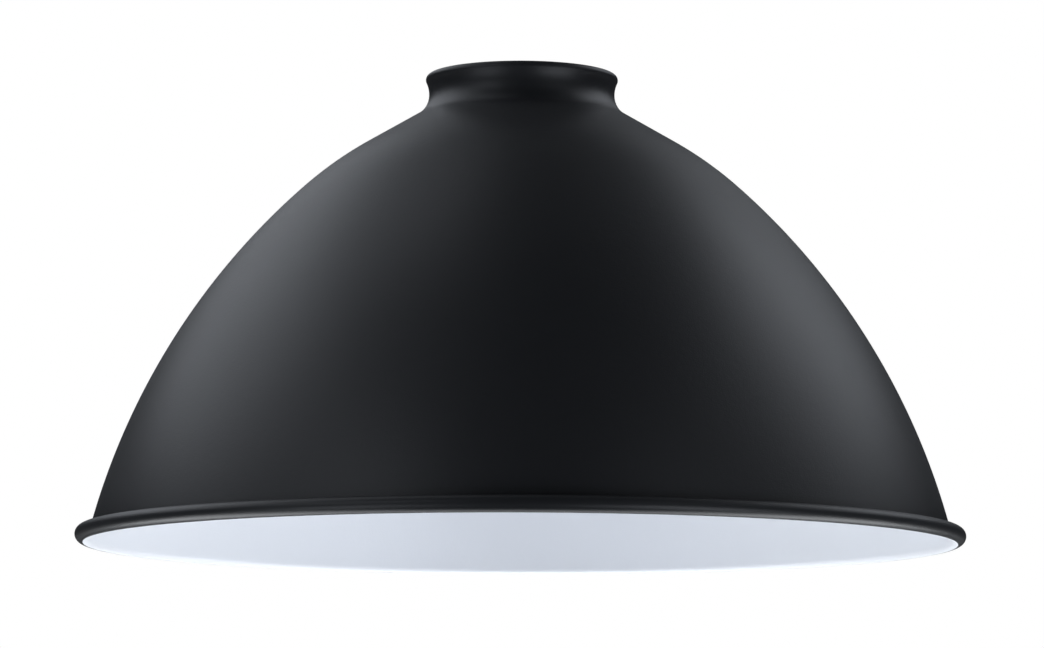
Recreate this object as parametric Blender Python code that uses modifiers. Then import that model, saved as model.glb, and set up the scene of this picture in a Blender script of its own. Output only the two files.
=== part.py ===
"""Pendant ceiling light: a spun steel dome shade that hangs on a dished carrier over an E26 lampholder.

Metres, +Z up. The origin is the mouth of the cord gland, where the cord would enter and the light hangs from.
Every height is worked downwards from there, along one common axis.
"""

import math

import bmesh
import bpy
from mathutils import Matrix, Vector

# Clearances
FIT = 0.0003                # gap between two pieces that touch in the real light
WIRE_GAP = 0.0003           # gap at the soldered or welded end of a wire
THREAD_FIT = 0.00035        # gap all along the lamp thread

# Shared by many pieces
OVERCUT = 0.001             # how far a cutting shape runs past the face it cuts
JOIN = 0.0002               # how far two shapes that are joined into one piece overlap
THREAD_CHAMFER = 0.0004
EDGE_CHAMFER = 0.0008
CURVE_ROUNDNESS = 2         # of a wire's section
HOLE_STEPS = 12
BORE_STEPS = 24

# Shade
SHADE_RADIUS = 0.130        # to the outside of the curled rim
SHADE_HEIGHT = 0.1393       # from the bottom of the curl to the top of the lip
SHADE_WALL = 0.0008
CURL_RADIUS = 0.0024        # outside of the rim's curl
CURL_END = math.radians(122)        # how far past the wall's outward normal the curl's edge ends
NECK_RADIUS = 0.0274        # outside, at the waist
NECK_FILLET = 0.0074        # outside, from shoulder to neck
SHOULDER_ANGLE = math.radians(59.5)     # of the shoulder's outward normal, above the horizontal
SHOULDER_LENGTH = 0.018
CROWN_RADIUS = 0.110
CROWN_ANGLE = math.radians(48)      # of the normal where the crown meets the side
LIP_FLARE_RADIUS = 0.0090
LIP_FLARE_ANGLE = math.radians(25)
LIP_ROLL_RADIUS = 0.0015
LIP_ROLL_END = math.radians(165)
LIP_DROP = 0.0020           # top of the lip below the gland's mouth
SHADE_STEPS = 48
SEAM_MERGE = 0.00001        # closes the seam of a turned shape
SHARP_ANGLE = math.radians(35)

# Carrier and its seating ring
SEAT_START = 0.0020         # from the shoulder's upper end, along the slope
SEAT_WIDTH = 0.0060
SEAT_THICKNESS = 0.0012
CARRIER_WALL = 0.0012
CARRIER_FLOOR_RADIUS = 0.0220
CARRIER_LEDGE = 0.0005      # rim of the carrier past the ring, each way
CARRIER_CORNER = 0.0012     # run of the short facet that rounds each bend
CARRIER_CORNER_RISE = 0.0002
CARRIER_STEPS = 36
FLOOR_TOP = -0.0193
VENT_COUNT = 5
VENT_RADIUS = 0.0035
VENT_CIRCLE = 0.0155

# Gland, nipple, nut and washer
CORD_HOLE_RADIUS = 0.0036
GLAND_NUT_HEIGHT = 0.0080
GLAND_NUT_TOP_WALL = 0.0020
GLAND_NUT_RIBS = 16
GLAND_RIB_DEPTH = 0.0004
GLAND_NUT_WALL = 0.0012
GLAND_THREAD_WALL = 0.0007  # from the nipple's hole to the gland's outer thread
GLAND_HEX = 0.0165          # across flats
GLAND_HEX_HEIGHT = 0.0055
GLAND_FOOT_STEP = 0.0015    # how far the foot stands out past the thread
SEAL_TAPER = 0.0014
SEAL_TAPER_INSET = 0.00056
SEAL_WALL = 0.0014
SEAL_HEIGHT = 0.0050
NIPPLE_RADIUS = 0.0050
NIPPLE_BORE = 0.0039
NIPPLE_ENGAGEMENT = 0.0070
WASHER_RADIUS = 0.0090
WASHER_TOOTH = 0.0012
WASHER_TEETH = 12
WASHER_THICKNESS = 0.0008
LOCK_NUT_HEX = 0.0140
LOCK_NUT_HEIGHT = 0.0030

# Earth terminal on the carrier
EARTH_SHANK_RADIUS = 0.0020
EARTH_SHANK_LENGTH = 0.0075
EARTH_HEAD_RADIUS = 0.0039
EARTH_HEAD_HEIGHT = 0.0022
EARTH_HEAD_CHAMFER = 0.0007
EARTH_HEAD_FLAT = 0.0027    # radius of the head's flat top
EARTH_SLOT_WIDTH = 0.0008
EARTH_SLOT_DEPTH = 0.0009
EARTH_WASHER_RADIUS = 0.0044
EARTH_WASHER_THICKNESS = 0.0008
EARTH_NUT_HEX = 0.0070
EARTH_NUT_HEIGHT = 0.0022

# Lampholder
SKIRT_LEDGE = 0.0014        # where the porcelain rests, round the brass shell
HOLDER_WALL = 0.0022
CAP_NECK_RADIUS = 0.0074
CAP_NECK_HEIGHT = 0.0060
CAP_SHOULDER_HEIGHT = 0.0065
CAP_SIDE_HEIGHT = 0.0085
CAP_ROOF = 0.0030
CAP_CEILING_CHAMFER = 0.0045
HOLDER_STEPS = 36
SPIGOT_WALL = 0.0014
SPIGOT_HEIGHT = 0.0030
TERMINAL_ROOM = 0.0070      # from the cap's ceiling to the block
BLOCK_HEIGHT = 0.0080
SKIRT_FLANGE_HEIGHT = 0.0055
SKIRT_WALL = 0.0035
SKIRT_LENGTH = 0.0277
SKIRT_EDGE = 0.0010
SET_SCREW_RADIUS = 0.0015
SET_SCREW_PROUD = 0.0008    # how far its slotted end stands out of the cap's neck
SMALL_SLOT_WIDTH = 0.0006   # of the set screw and the terminal screws
SMALL_SLOT_DEPTH = 0.0005

# Lamp thread (E26), shared by the brass shell and the bulb's cap
THREAD_PITCH = 0.0254 / 7
THREAD_DEPTH = 0.0009
CAP_THREAD_RADIUS = 0.01265     # middle of the bulb cap's thread
SHELL_WALL = 0.00045
SHELL_FLANGE_HOLE = 0.0084
SHELL_LENGTH = 0.0215
THREAD_ROWS = 6             # facets to one pitch, up the thread
THREAD_STEPS = 20           # and around it

# Contacts
STRIP_WIDTH = 0.0040
STRIP_THICKNESS = 0.0006
TONGUE_ROOT_IN = 0.0021     # from the live terminal's middle towards the axis
TONGUE_PAD = 0.0014         # half the length of its riveted end
TONGUE_BEND = 0.0040        # from the root to where it runs level again
TONGUE_TIP = 0.0035
TONGUE_DROP = 0.0012
TONGUE_LIFT = 0.0007        # its tip turns up by this much, over
TONGUE_LIFT_RUN = 0.0008    # this length
STRAP_RISE = 0.0036         # above the foot of the neutral terminal
STRAP_MARGIN = 0.0025       # from the neutral strap to the edge of the porcelain
TERMINAL_LENGTH = 0.0068
TERMINAL_WIDTH = 0.0050
TERMINAL_HEIGHT = 0.0045
TERMINAL_STEM_RADIUS = 0.0012
TERMINAL_EDGE = 0.0003
TERMINAL_WIRE_HOLE = 0.0011
TERMINAL_WIRE_HEIGHT = 0.0018       # of the hole's middle, above the terminal's foot
TERMINAL_SCREW_OUT = 0.0012         # from the terminal's middle towards the wall
TERMINAL_SCREW_RADIUS = 0.0013
TERMINAL_SCREW_HEAD = 0.0019
TERMINAL_SCREW_HEAD_HEIGHT = 0.0012
TERMINAL_SCREW_BITE = 0.0004        # how far its foot stops above the hole's middle

# Bulb
BULB_LENGTH = 0.0720
GLOBE_RADIUS = 0.0225
GLASS_WALL = 0.0008
GLASS_NECK_GAP = 0.0006     # cement between the cap and the glass
GLASS_NECK_INSERT = 0.0155          # from the cap's top down to the glass
GLOBE_JOIN = math.radians(52)       # where the neck's flare meets the globe, above its middle
FLARE_LAG = 0.3             # how much later the neck's flare opens than an even ease would
GLASS_STEPS = 24
CAP_HEIGHT = 0.0250
CAP_COLLAR_HEIGHT = 0.0035
CAP_CROWN_HEIGHT = 0.0018
CAP_CROWN_LEDGE = 0.0020
CAP_COLLAR_FLARE = 0.0004
CAP_WALL = 0.0004
CONTACT_RADIUS = 0.0045
CONTACT_HEIGHT = 0.0012
CONTACT_CROWN = 0.0027      # radius where its top starts to round off
INSULATOR_HEIGHT = 0.0026
INSULATOR_RADIUS = 0.0095
INSULATOR_TOP_RADIUS = 0.0053
STEM_RADIUS = 0.0030
STEM_FLARE_GAP = 0.0004
STEM_LENGTH = 0.0210
STEM_FLARE_HEIGHT = 0.0070
STEM_TAPER = 0.0020         # from the tube down to the rod
ROD_RADIUS = 0.0011
ROD_LENGTH = 0.0250
FILAMENT_COUNT = 4
FILAMENT_RADIUS = 0.00085
FILAMENT_TOP_CIRCLE = 0.0045
FILAMENT_FOOT_CIRCLE = 0.0100
FILAMENT_DROP = 0.0200
FILAMENT_START = 0.0030     # below the stem's tip
LEAD_RADIUS = 0.00035
LEAD_START = 0.0060         # above the stem's tip
LEAD_BEND = 0.0012          # above the filaments' tops

for old in list(bpy.data.objects):
    bpy.data.objects.remove(old)
for old in list(bpy.data.collections):
    bpy.data.collections.remove(old)

PARTS = bpy.data.collections.new("pendant_light")
CUTTERS = bpy.data.collections.new("cutters")
bpy.context.scene.collection.children.link(PARTS)
bpy.context.scene.collection.children.link(CUTTERS)


# ---------------------------------------------------------------- helpers

def material(name, colour, roughness, metallic=0.0, transmission=0.0):
    made = bpy.data.materials.new(name)
    made.use_nodes = True
    shader = made.node_tree.nodes["Principled BSDF"]
    shader.inputs["Base Color"].default_value = (*colour, 1.0)
    shader.inputs["Roughness"].default_value = roughness
    shader.inputs["Metallic"].default_value = metallic
    shader.inputs["Transmission Weight"].default_value = transmission
    return made


def add(name, mesh, finish=None, cutter=False):
    piece = bpy.data.objects.new(name, mesh)
    (CUTTERS if cutter else PARTS).objects.link(piece)
    if finish:
        mesh.materials.append(finish)
    if cutter:
        piece.hide_render = True
        piece.display_type = "WIRE"
    return piece


def mesh_of(name, build, smooth=True):
    """A mesh from a function that fills an empty bmesh."""
    shape = bmesh.new()
    build(shape)
    bmesh.ops.recalc_face_normals(shape, faces=shape.faces)
    mesh = bpy.data.meshes.new(name)
    shape.to_mesh(mesh)
    shape.free()
    if smooth:
        mesh.shade_smooth()
        mesh.set_sharp_from_angle(angle=SHARP_ANGLE)
    return mesh


def turned(name, profile, finish, steps=32, cutter=False):
    """A profile of (radius, height) points, run down its outer side, turned about Z by a Screw modifier.

    A profile whose ends are both on the axis closes itself; any other is closed back to its first point.
    """
    on_axis = profile[0][0] == 0 and profile[-1][0] == 0
    mesh = bpy.data.meshes.new(name)
    points = [(radius, 0.0, height) for radius, height in profile]
    edges = [(i, i + 1) for i in range(len(points) - 1)]
    if not on_axis:
        edges.append((len(points) - 1, 0))
    mesh.from_pydata(points, edges, [])
    piece = add(name, mesh, finish, cutter)
    spin(piece, steps)
    return piece


def spin(piece, steps):
    screw = piece.modifiers.new("turn", "SCREW")
    screw.axis = "Z"
    screw.steps = steps
    screw.render_steps = steps
    screw.use_merge_vertices = True
    screw.merge_threshold = SEAM_MERGE
    screw.use_smooth_shade = True


def cut(piece, cutter, operation="DIFFERENCE"):
    boolean = piece.modifiers.new(cutter.name, "BOOLEAN")
    boolean.operation = operation
    boolean.object = cutter
    boolean.solver = "EXACT"


def cylinder(name, radius, top, bottom, at=(0.0, 0.0), steps=16, finish=None, cutter=False, phase=0.0):
    """An upright cylinder or, with few steps, a prism."""
    def build(shape):
        place = Matrix.Translation((*at, (top + bottom) / 2)) @ Matrix.Rotation(phase, 4, "Z")
        bmesh.ops.create_cone(
            shape, cap_ends=True, segments=steps, radius1=radius, radius2=radius,
            depth=top - bottom, matrix=place,
        )
    return add(name, mesh_of(name, build), finish, cutter)


def block(name, low, high, finish=None, cutter=False):
    """A box between two corners."""
    def build(shape):
        size = Vector(high) - Vector(low)
        middle = (Vector(high) + Vector(low)) / 2
        place = Matrix.Translation(middle) @ Matrix.Diagonal((*size, 1.0))
        bmesh.ops.create_cube(shape, size=1.0, matrix=place)
    return add(name, mesh_of(name, build, smooth=False), finish, cutter)


def bevel(piece, width):
    edge = piece.modifiers.new("edges", "BEVEL")
    edge.width = width
    edge.limit_method = "ANGLE"
    edge.angle_limit = SHARP_ANGLE


def crosswise_cylinder(name, radius, length, middle, finish=None, cutter=False):
    """A cylinder that lies along Y."""
    def build(shape):
        place = Matrix.Translation(middle) @ Matrix.Rotation(math.pi / 2, 4, "X")
        bmesh.ops.create_cone(
            shape, cap_ends=True, segments=HOLE_STEPS, radius1=radius, radius2=radius,
            depth=length, matrix=place,
        )
    return add(name, mesh_of(name, build), finish, cutter)


def hexagon(name, across_flats, top, bottom, finish, at=(0.0, 0.0)):
    return cylinder(name, across_flats / math.sqrt(3), top, bottom, at, 6, finish)


def arc(centre, radius, start, end, steps):
    """Points round a circle in the (radius, height) plane, from one angle to another."""
    turns = [start + (end - start) * i / steps for i in range(steps + 1)]
    return [(centre[0] + radius * math.cos(a), centre[1] + radius * math.sin(a)) for a in turns]


def wire(name, points, radius, finish):
    """A round wire along points, with filled ends, as a mesh whose caps are welded."""
    curve = bpy.data.curves.new(name, "CURVE")
    curve.dimensions = "3D"
    curve.bevel_depth = radius
    curve.bevel_resolution = CURVE_ROUNDNESS
    curve.use_fill_caps = True
    spline = curve.splines.new("POLY")
    spline.points.add(len(points) - 1)
    for point, place in zip(spline.points, points):
        point.co = (*place, 1.0)
    drawn = bpy.data.objects.new(name + "_path", curve)
    PARTS.objects.link(drawn)
    bpy.context.view_layer.update()
    graph = bpy.context.evaluated_depsgraph_get()
    mesh = bpy.data.meshes.new_from_object(drawn.evaluated_get(graph))
    shape = bmesh.new()
    shape.from_mesh(mesh)
    bmesh.ops.remove_doubles(shape, verts=shape.verts, dist=SEAM_MERGE / 10)
    bmesh.ops.recalc_face_normals(shape, faces=shape.faces)
    shape.to_mesh(mesh)
    shape.free()
    mesh.shade_smooth()
    bpy.data.objects.remove(drawn)
    mesh.materials.clear()
    return add(name, mesh, finish)


# ---------------------------------------------------------------- shade

def shade_centreline():
    """The middle of the shade's wall as (radius, height) points, from the rolled lip down to the curl's edge.

    The side is the one arc that leaves the crown smoothly and meets the curl tangentially, so the shade's
    radius and height can each be set alone.
    """
    half = SHADE_WALL / 2
    lip_top = -LIP_DROP
    lip_radius = LIP_ROLL_RADIUS - half
    flare_radius = LIP_FLARE_RADIUS + half
    flare_in = (1 - math.cos(LIP_FLARE_ANGLE)) * (flare_radius + lip_radius)
    flare_down = math.sin(LIP_FLARE_ANGLE) * (flare_radius + lip_radius)
    waist = NECK_RADIUS - half
    lip_centre = (waist + flare_in - lip_radius, lip_top - LIP_ROLL_RADIUS)
    waist_height = lip_centre[1] - flare_down

    points = arc(lip_centre, lip_radius, LIP_ROLL_END, -LIP_FLARE_ANGLE, 5)
    flare_centre = (waist + flare_radius, waist_height)
    points += arc(flare_centre, flare_radius, math.pi - LIP_FLARE_ANGLE, math.pi, 2)[1:]
    fillet_radius = NECK_FILLET + half
    fillet_centre = (waist + fillet_radius, waist_height)
    points += arc(fillet_centre, fillet_radius, math.pi, math.pi + SHOULDER_ANGLE, 4)[1:]

    slope = (math.sin(SHOULDER_ANGLE), -math.cos(SHOULDER_ANGLE))
    shoulder_top = points[-1]
    shoulder_end = (
        shoulder_top[0] + SHOULDER_LENGTH * slope[0],
        shoulder_top[1] + SHOULDER_LENGTH * slope[1],
    )
    points.append(shoulder_end)
    crown_radius = CROWN_RADIUS - half
    crown_centre = (
        shoulder_end[0] - crown_radius * math.cos(SHOULDER_ANGLE),
        shoulder_end[1] - crown_radius * math.sin(SHOULDER_ANGLE),
    )
    points += arc(crown_centre, crown_radius, SHOULDER_ANGLE, CROWN_ANGLE, 2)[1:]

    crown_end = points[-1]
    normal = (math.cos(CROWN_ANGLE), math.sin(CROWN_ANGLE))
    curl = CURL_RADIUS - half
    curl_centre = (SHADE_RADIUS - CURL_RADIUS, lip_top - SHADE_HEIGHT + CURL_RADIUS)
    across = curl_centre[0] - crown_end[0] - curl * normal[0]
    down = curl_centre[1] - crown_end[1] - curl * normal[1]
    past_curl = -(across**2 + down**2) / (2 * (across * normal[0] + down * normal[1]))
    side_radius = past_curl - curl
    side_centre = (crown_end[0] - side_radius * normal[0], crown_end[1] - side_radius * normal[1])
    rim_angle = math.atan2(curl_centre[1] - side_centre[1], curl_centre[0] - side_centre[0])
    points += arc(side_centre, side_radius, CROWN_ANGLE, rim_angle, 8)[1:]
    points += arc(curl_centre, curl, rim_angle - math.pi, rim_angle + CURL_END, 9)[1:]
    return points, shoulder_top


def make_shade():
    points, _ = shade_centreline()
    mesh = bpy.data.meshes.new("shade_shell")
    mesh.from_pydata(
        [(radius, 0.0, height) for radius, height in points],
        [(i, i + 1) for i in range(len(points) - 1)], [],
    )
    shell = add("shade_shell", mesh, material("black powder coat", (0.012, 0.013, 0.015), 0.42))
    spin(shell, SHADE_STEPS)
    wall = shell.modifiers.new("wall", "SOLIDIFY")
    wall.thickness = SHADE_WALL
    wall.offset = 0.0
    wall.use_even_offset = True


# ---------------------------------------------------------------- carrier and seat

def shoulder_point(along, inward):
    """A point beside the shoulder: a distance down its slope, and a depth below its outer face."""
    _, top = shade_centreline()
    depth = inward - SHADE_WALL / 2
    return (
        top[0] + along * math.sin(SHOULDER_ANGLE) - depth * math.cos(SHOULDER_ANGLE),
        top[1] - along * math.cos(SHOULDER_ANGLE) - depth * math.sin(SHOULDER_ANGLE),
    )


def make_seating_ring():
    face = SHADE_WALL + FIT
    back = face + SEAT_THICKNESS
    end = SEAT_START + SEAT_WIDTH
    profile = [
        shoulder_point(SEAT_START, face),
        shoulder_point(end, face),
        shoulder_point(end, back),
        shoulder_point(SEAT_START, back),
    ]
    turned("seating_ring", profile, material("grey silicone", (0.30, 0.30, 0.29), 0.75), CARRIER_STEPS)


def make_carrier():
    middle = SHADE_WALL + SEAT_THICKNESS + 2 * FIT + CARRIER_WALL / 2
    crest = shoulder_point(SEAT_START - CARRIER_LEDGE, middle)
    rim = shoulder_point(SEAT_START + SEAT_WIDTH + CARRIER_LEDGE, middle)
    floor = FLOOR_TOP - CARRIER_WALL / 2
    points = [
        rim,
        crest,
        (crest[0] - CARRIER_CORNER, crest[1] + CARRIER_CORNER_RISE),
        (CARRIER_FLOOR_RADIUS + CARRIER_CORNER, floor + CARRIER_CORNER_RISE),
        (CARRIER_FLOOR_RADIUS, floor),
        (NIPPLE_RADIUS + FIT, floor),
    ]
    points.reverse()
    mesh = bpy.data.meshes.new("shade_carrier")
    mesh.from_pydata(
        [(radius, 0.0, height) for radius, height in points],
        [(i, i + 1) for i in range(len(points) - 1)], [],
    )
    carrier = add("shade_carrier", mesh, material("zinc plated steel", (0.55, 0.56, 0.58), 0.35, 1.0))
    spin(carrier, CARRIER_STEPS)
    wall = carrier.modifiers.new("wall", "SOLIDIFY")
    wall.thickness = CARRIER_WALL
    wall.offset = 0.0
    wall.use_even_offset = True
    low = FLOOR_TOP - CARRIER_WALL - OVERCUT
    high = FLOOR_TOP + CARRIER_WALL
    for number in range(1, VENT_COUNT + 1):
        turn = 2 * math.pi * number / (VENT_COUNT + 1)
        at = (VENT_CIRCLE * math.cos(turn), VENT_CIRCLE * math.sin(turn))
        cut(carrier, cylinder(f"vent_{number}", VENT_RADIUS, high, low, at, HOLE_STEPS, cutter=True))
    hole = cylinder(
        "earth_hole", EARTH_SHANK_RADIUS + FIT, high, low, (VENT_CIRCLE, 0.0), HOLE_STEPS, cutter=True
    )
    cut(carrier, hole)


# ---------------------------------------------------------------- gland, nipple, nut and washer

def gland_thread_radius():
    return NIPPLE_RADIUS + FIT + GLAND_THREAD_WALL


def gland_nut_radius():
    return gland_thread_radius() + FIT + GLAND_NUT_WALL


def make_gland():
    black = material("black nylon", (0.02, 0.02, 0.021), 0.5)
    nut_bottom = -GLAND_NUT_HEIGHT
    bore = gland_thread_radius() + FIT
    rib = gland_nut_radius() - GLAND_RIB_DEPTH
    outline = []
    for number in range(2 * GLAND_NUT_RIBS):
        turn = math.pi * number / GLAND_NUT_RIBS
        reach = gland_nut_radius() if number % 2 == 0 else rib
        outline.append((reach * math.cos(turn), reach * math.sin(turn)))

    def ribbed(shape):
        base = [shape.verts.new((x, y, nut_bottom)) for x, y in outline]
        face = shape.faces.new(base)
        grown = bmesh.ops.extrude_face_region(shape, geom=[face])
        risen = [item for item in grown["geom"] if isinstance(item, bmesh.types.BMVert)]
        bmesh.ops.translate(shape, verts=risen, vec=(0, 0, GLAND_NUT_HEIGHT))

    nut = add("gland_nut", mesh_of("gland_nut", ribbed, smooth=False), black)
    ceiling = -GLAND_NUT_TOP_WALL
    hollow = turned(
        "gland_nut_bore",
        [
            (0, OVERCUT), (CORD_HOLE_RADIUS, OVERCUT), (CORD_HOLE_RADIUS, ceiling),
            (bore, ceiling), (bore, nut_bottom - OVERCUT), (0, nut_bottom - OVERCUT),
        ],
        None, BORE_STEPS, cutter=True,
    )
    cut(nut, hollow)

    seal_top = ceiling - FIT
    seal_bottom = seal_top - SEAL_HEIGHT
    outside = CORD_HOLE_RADIUS + SEAL_WALL
    turned(
        "gland_seal",
        [
            (CORD_HOLE_RADIUS, seal_top), (outside - SEAL_TAPER_INSET, seal_top),
            (outside, seal_top - SEAL_TAPER), (outside, seal_bottom), (CORD_HOLE_RADIUS, seal_bottom),
        ],
        material("black rubber", (0.03, 0.03, 0.03), 0.8), BORE_STEPS,
    )

    body_bottom = FLOOR_TOP + FIT
    hex_top = nut_bottom - FIT
    hex_bottom = hex_top - GLAND_HEX_HEIGHT
    foot = gland_thread_radius() + GLAND_FOOT_STEP
    pocket = seal_bottom - FIT
    grip = outside + FIT
    body = turned(
        "gland_body",
        [
            (grip, seal_top - SEAL_TAPER), (gland_thread_radius(), seal_top - SEAL_TAPER),
            (gland_thread_radius(), hex_bottom), (foot, hex_bottom),
            (foot, body_bottom), (NIPPLE_RADIUS + FIT, body_bottom),
            (NIPPLE_RADIUS + FIT, nipple_top() + FIT), (CORD_HOLE_RADIUS, nipple_top() + FIT),
            (CORD_HOLE_RADIUS, pocket), (grip, pocket),
        ],
        black, BORE_STEPS,
    )
    flats = cylinder("gland_hex", GLAND_HEX / math.sqrt(3), hex_top, hex_bottom, steps=6, cutter=True)
    core = cylinder(
        "gland_hex_bore", gland_thread_radius() - JOIN, hex_top + OVERCUT, hex_bottom - OVERCUT,
        steps=BORE_STEPS, cutter=True,
    )
    cut(flats, core)
    cut(body, flats, "UNION")


def nipple_top():
    return FLOOR_TOP + FIT + NIPPLE_ENGAGEMENT


def washer_top():
    return FLOOR_TOP - CARRIER_WALL - FIT


def lock_nut_top():
    return washer_top() - WASHER_THICKNESS - FIT


def holder_top():
    return lock_nut_top() - LOCK_NUT_HEIGHT - FIT


def make_nipple():
    bottom = holder_top() - CAP_NECK_HEIGHT
    steel = material("bright steel", (0.6, 0.6, 0.61), 0.3, 1.0)
    turned(
        "threaded_nipple",
        [
            (NIPPLE_BORE, nipple_top()), (NIPPLE_RADIUS - THREAD_CHAMFER, nipple_top()),
            (NIPPLE_RADIUS, nipple_top() - THREAD_CHAMFER), (NIPPLE_RADIUS, bottom + THREAD_CHAMFER),
            (NIPPLE_RADIUS - THREAD_CHAMFER, bottom), (NIPPLE_BORE, bottom),
        ],
        steel, BORE_STEPS,
    )


def make_lock_washer():
    """A toothed washer: round hole, a ring of square teeth outside."""
    def toothed(shape):
        base = []
        for number in range(4 * WASHER_TEETH):
            turn = 2 * math.pi * (number - 0.5) / (4 * WASHER_TEETH)
            reach = WASHER_RADIUS if number % 4 < 2 else WASHER_RADIUS - WASHER_TOOTH
            base.append(shape.verts.new((
                reach * math.cos(turn), reach * math.sin(turn), washer_top() - WASHER_THICKNESS
            )))
        face = shape.faces.new(base)
        grown = bmesh.ops.extrude_face_region(shape, geom=[face])
        risen = [item for item in grown["geom"] if isinstance(item, bmesh.types.BMVert)]
        bmesh.ops.translate(shape, verts=risen, vec=(0, 0, WASHER_THICKNESS))

    spring = material("spring steel", (0.45, 0.45, 0.46), 0.35, 1.0)
    washer = add("lock_washer", mesh_of("lock_washer", toothed, smooth=False), spring)
    bore = cylinder(
        "lock_washer_bore", NIPPLE_RADIUS + FIT, washer_top() + OVERCUT,
        washer_top() - WASHER_THICKNESS - OVERCUT, steps=BORE_STEPS, cutter=True,
    )
    cut(washer, bore)


def make_lock_nut():
    brass = material("nickel plated brass", (0.65, 0.63, 0.58), 0.3, 1.0)
    bottom = lock_nut_top() - LOCK_NUT_HEIGHT
    nut = hexagon("lock_nut", LOCK_NUT_HEX, lock_nut_top(), bottom, brass)
    bore = cylinder(
        "lock_nut_bore", NIPPLE_RADIUS + FIT, lock_nut_top() + OVERCUT, bottom - OVERCUT,
        steps=BORE_STEPS, cutter=True,
    )
    cut(nut, bore)


def make_earth_terminal():
    at = (VENT_CIRCLE, 0.0)
    green = material("green passivated steel", (0.10, 0.30, 0.12), 0.4, 0.8)
    plated = material("plated steel", (0.6, 0.6, 0.58), 0.35, 1.0)
    washer_low = FLOOR_TOP + FIT
    head_low = washer_low + EARTH_WASHER_THICKNESS + FIT
    head_top = head_low + EARTH_HEAD_HEIGHT
    washer = cylinder(
        "earth_washer", EARTH_WASHER_RADIUS, washer_low + EARTH_WASHER_THICKNESS, washer_low,
        at, BORE_STEPS, plated,
    )
    bore = cylinder(
        "earth_washer_bore", EARTH_SHANK_RADIUS + FIT, head_low + OVERCUT, washer_low - OVERCUT,
        at, HOLE_STEPS, cutter=True,
    )
    cut(washer, bore)
    screw = turned(
        "earth_screw",
        [
            (0, head_top), (EARTH_HEAD_FLAT, head_top), (EARTH_HEAD_RADIUS, head_top - EARTH_HEAD_CHAMFER),
            (EARTH_HEAD_RADIUS, head_low), (EARTH_SHANK_RADIUS, head_low),
            (EARTH_SHANK_RADIUS, head_low - EARTH_SHANK_LENGTH), (0, head_low - EARTH_SHANK_LENGTH),
        ],
        green, 16,
    )
    screw.location = (*at, 0.0)
    reach = EARTH_HEAD_RADIUS + OVERCUT
    half = EARTH_SLOT_WIDTH / 2
    slot = block(
        "earth_slot", (at[0] - reach, -half, head_top - EARTH_SLOT_DEPTH),
        (at[0] + reach, half, head_top + OVERCUT), cutter=True,
    )
    cut(screw, slot)
    nut_top = FLOOR_TOP - CARRIER_WALL - FIT
    nut = hexagon("earth_nut", EARTH_NUT_HEX, nut_top, nut_top - EARTH_NUT_HEIGHT, plated, at)
    nut_bore = cylinder(
        "earth_nut_bore", EARTH_SHANK_RADIUS + FIT, nut_top + OVERCUT, nut_top - EARTH_NUT_HEIGHT - OVERCUT,
        at, HOLE_STEPS, cutter=True,
    )
    cut(nut, nut_bore)


# ---------------------------------------------------------------- lampholder

def cap_side_top():
    return holder_top() - CAP_NECK_HEIGHT - CAP_SHOULDER_HEIGHT


def cap_bottom():
    return cap_side_top() - CAP_SIDE_HEIGHT


def cap_ceiling():
    return holder_top() - CAP_NECK_HEIGHT - CAP_ROOF


def block_top():
    return cap_ceiling() - TERMINAL_ROOM


def block_bottom():
    return block_top() - BLOCK_HEIGHT


def holder_radius():
    return shell_radius() + FIT + SKIRT_LEDGE + SPIGOT_WALL + FIT + HOLDER_WALL


def spigot_radius():
    return holder_radius() - HOLDER_WALL - FIT


def block_radius():
    return spigot_radius() - SPIGOT_WALL - FIT


def make_holder_cap():
    """The upper half of the holder: a threaded neck on a domed cup."""
    bore = NIPPLE_RADIUS + FIT
    inside = holder_radius() - HOLDER_WALL
    neck_bottom = holder_top() - CAP_NECK_HEIGHT
    dome = [
        (
            CAP_NECK_RADIUS + (holder_radius() - CAP_NECK_RADIUS) * math.sin(turn),
            neck_bottom - CAP_SHOULDER_HEIGHT * (1 - math.cos(turn)),
        )
        for turn in [math.pi / 2 * i / 5 for i in range(6)]
    ]
    profile = [(bore, holder_top()), (CAP_NECK_RADIUS, holder_top())]
    profile += dome
    profile += [(holder_radius(), cap_bottom()), (inside, cap_bottom())]
    profile += [(inside, cap_side_top()), (inside - CAP_CEILING_CHAMFER, cap_ceiling())]
    profile.append((bore, cap_ceiling()))
    phenolic = material("black phenolic", (0.018, 0.016, 0.015), 0.3)
    cap = turned("holder_cap", profile, phenolic, HOLDER_STEPS)

    height = holder_top() - CAP_NECK_HEIGHT / 2

    hole_start = bore - OVERCUT
    hole_length = CAP_NECK_RADIUS + OVERCUT - hole_start
    hole = crosswise_cylinder(
        "cap_screw_hole", SET_SCREW_RADIUS + FIT, hole_length, (0, -hole_start - hole_length / 2, height),
        cutter=True,
    )
    cut(cap, hole)
    steel = material("black oxide steel", (0.08, 0.08, 0.085), 0.4, 1.0)
    length = CAP_NECK_RADIUS + SET_SCREW_PROUD - NIPPLE_RADIUS
    screw = crosswise_cylinder(
        "cap_lock_screw", SET_SCREW_RADIUS, length, (0, -bore - length / 2, height), steel
    )
    face = -bore - length
    half = SMALL_SLOT_WIDTH / 2
    slot = block(
        "cap_screw_slot", (-SET_SCREW_RADIUS - OVERCUT, face - OVERCUT, height - half),
        (SET_SCREW_RADIUS + OVERCUT, face + SMALL_SLOT_DEPTH, height + half), cutter=True,
    )
    cut(screw, slot)


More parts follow.
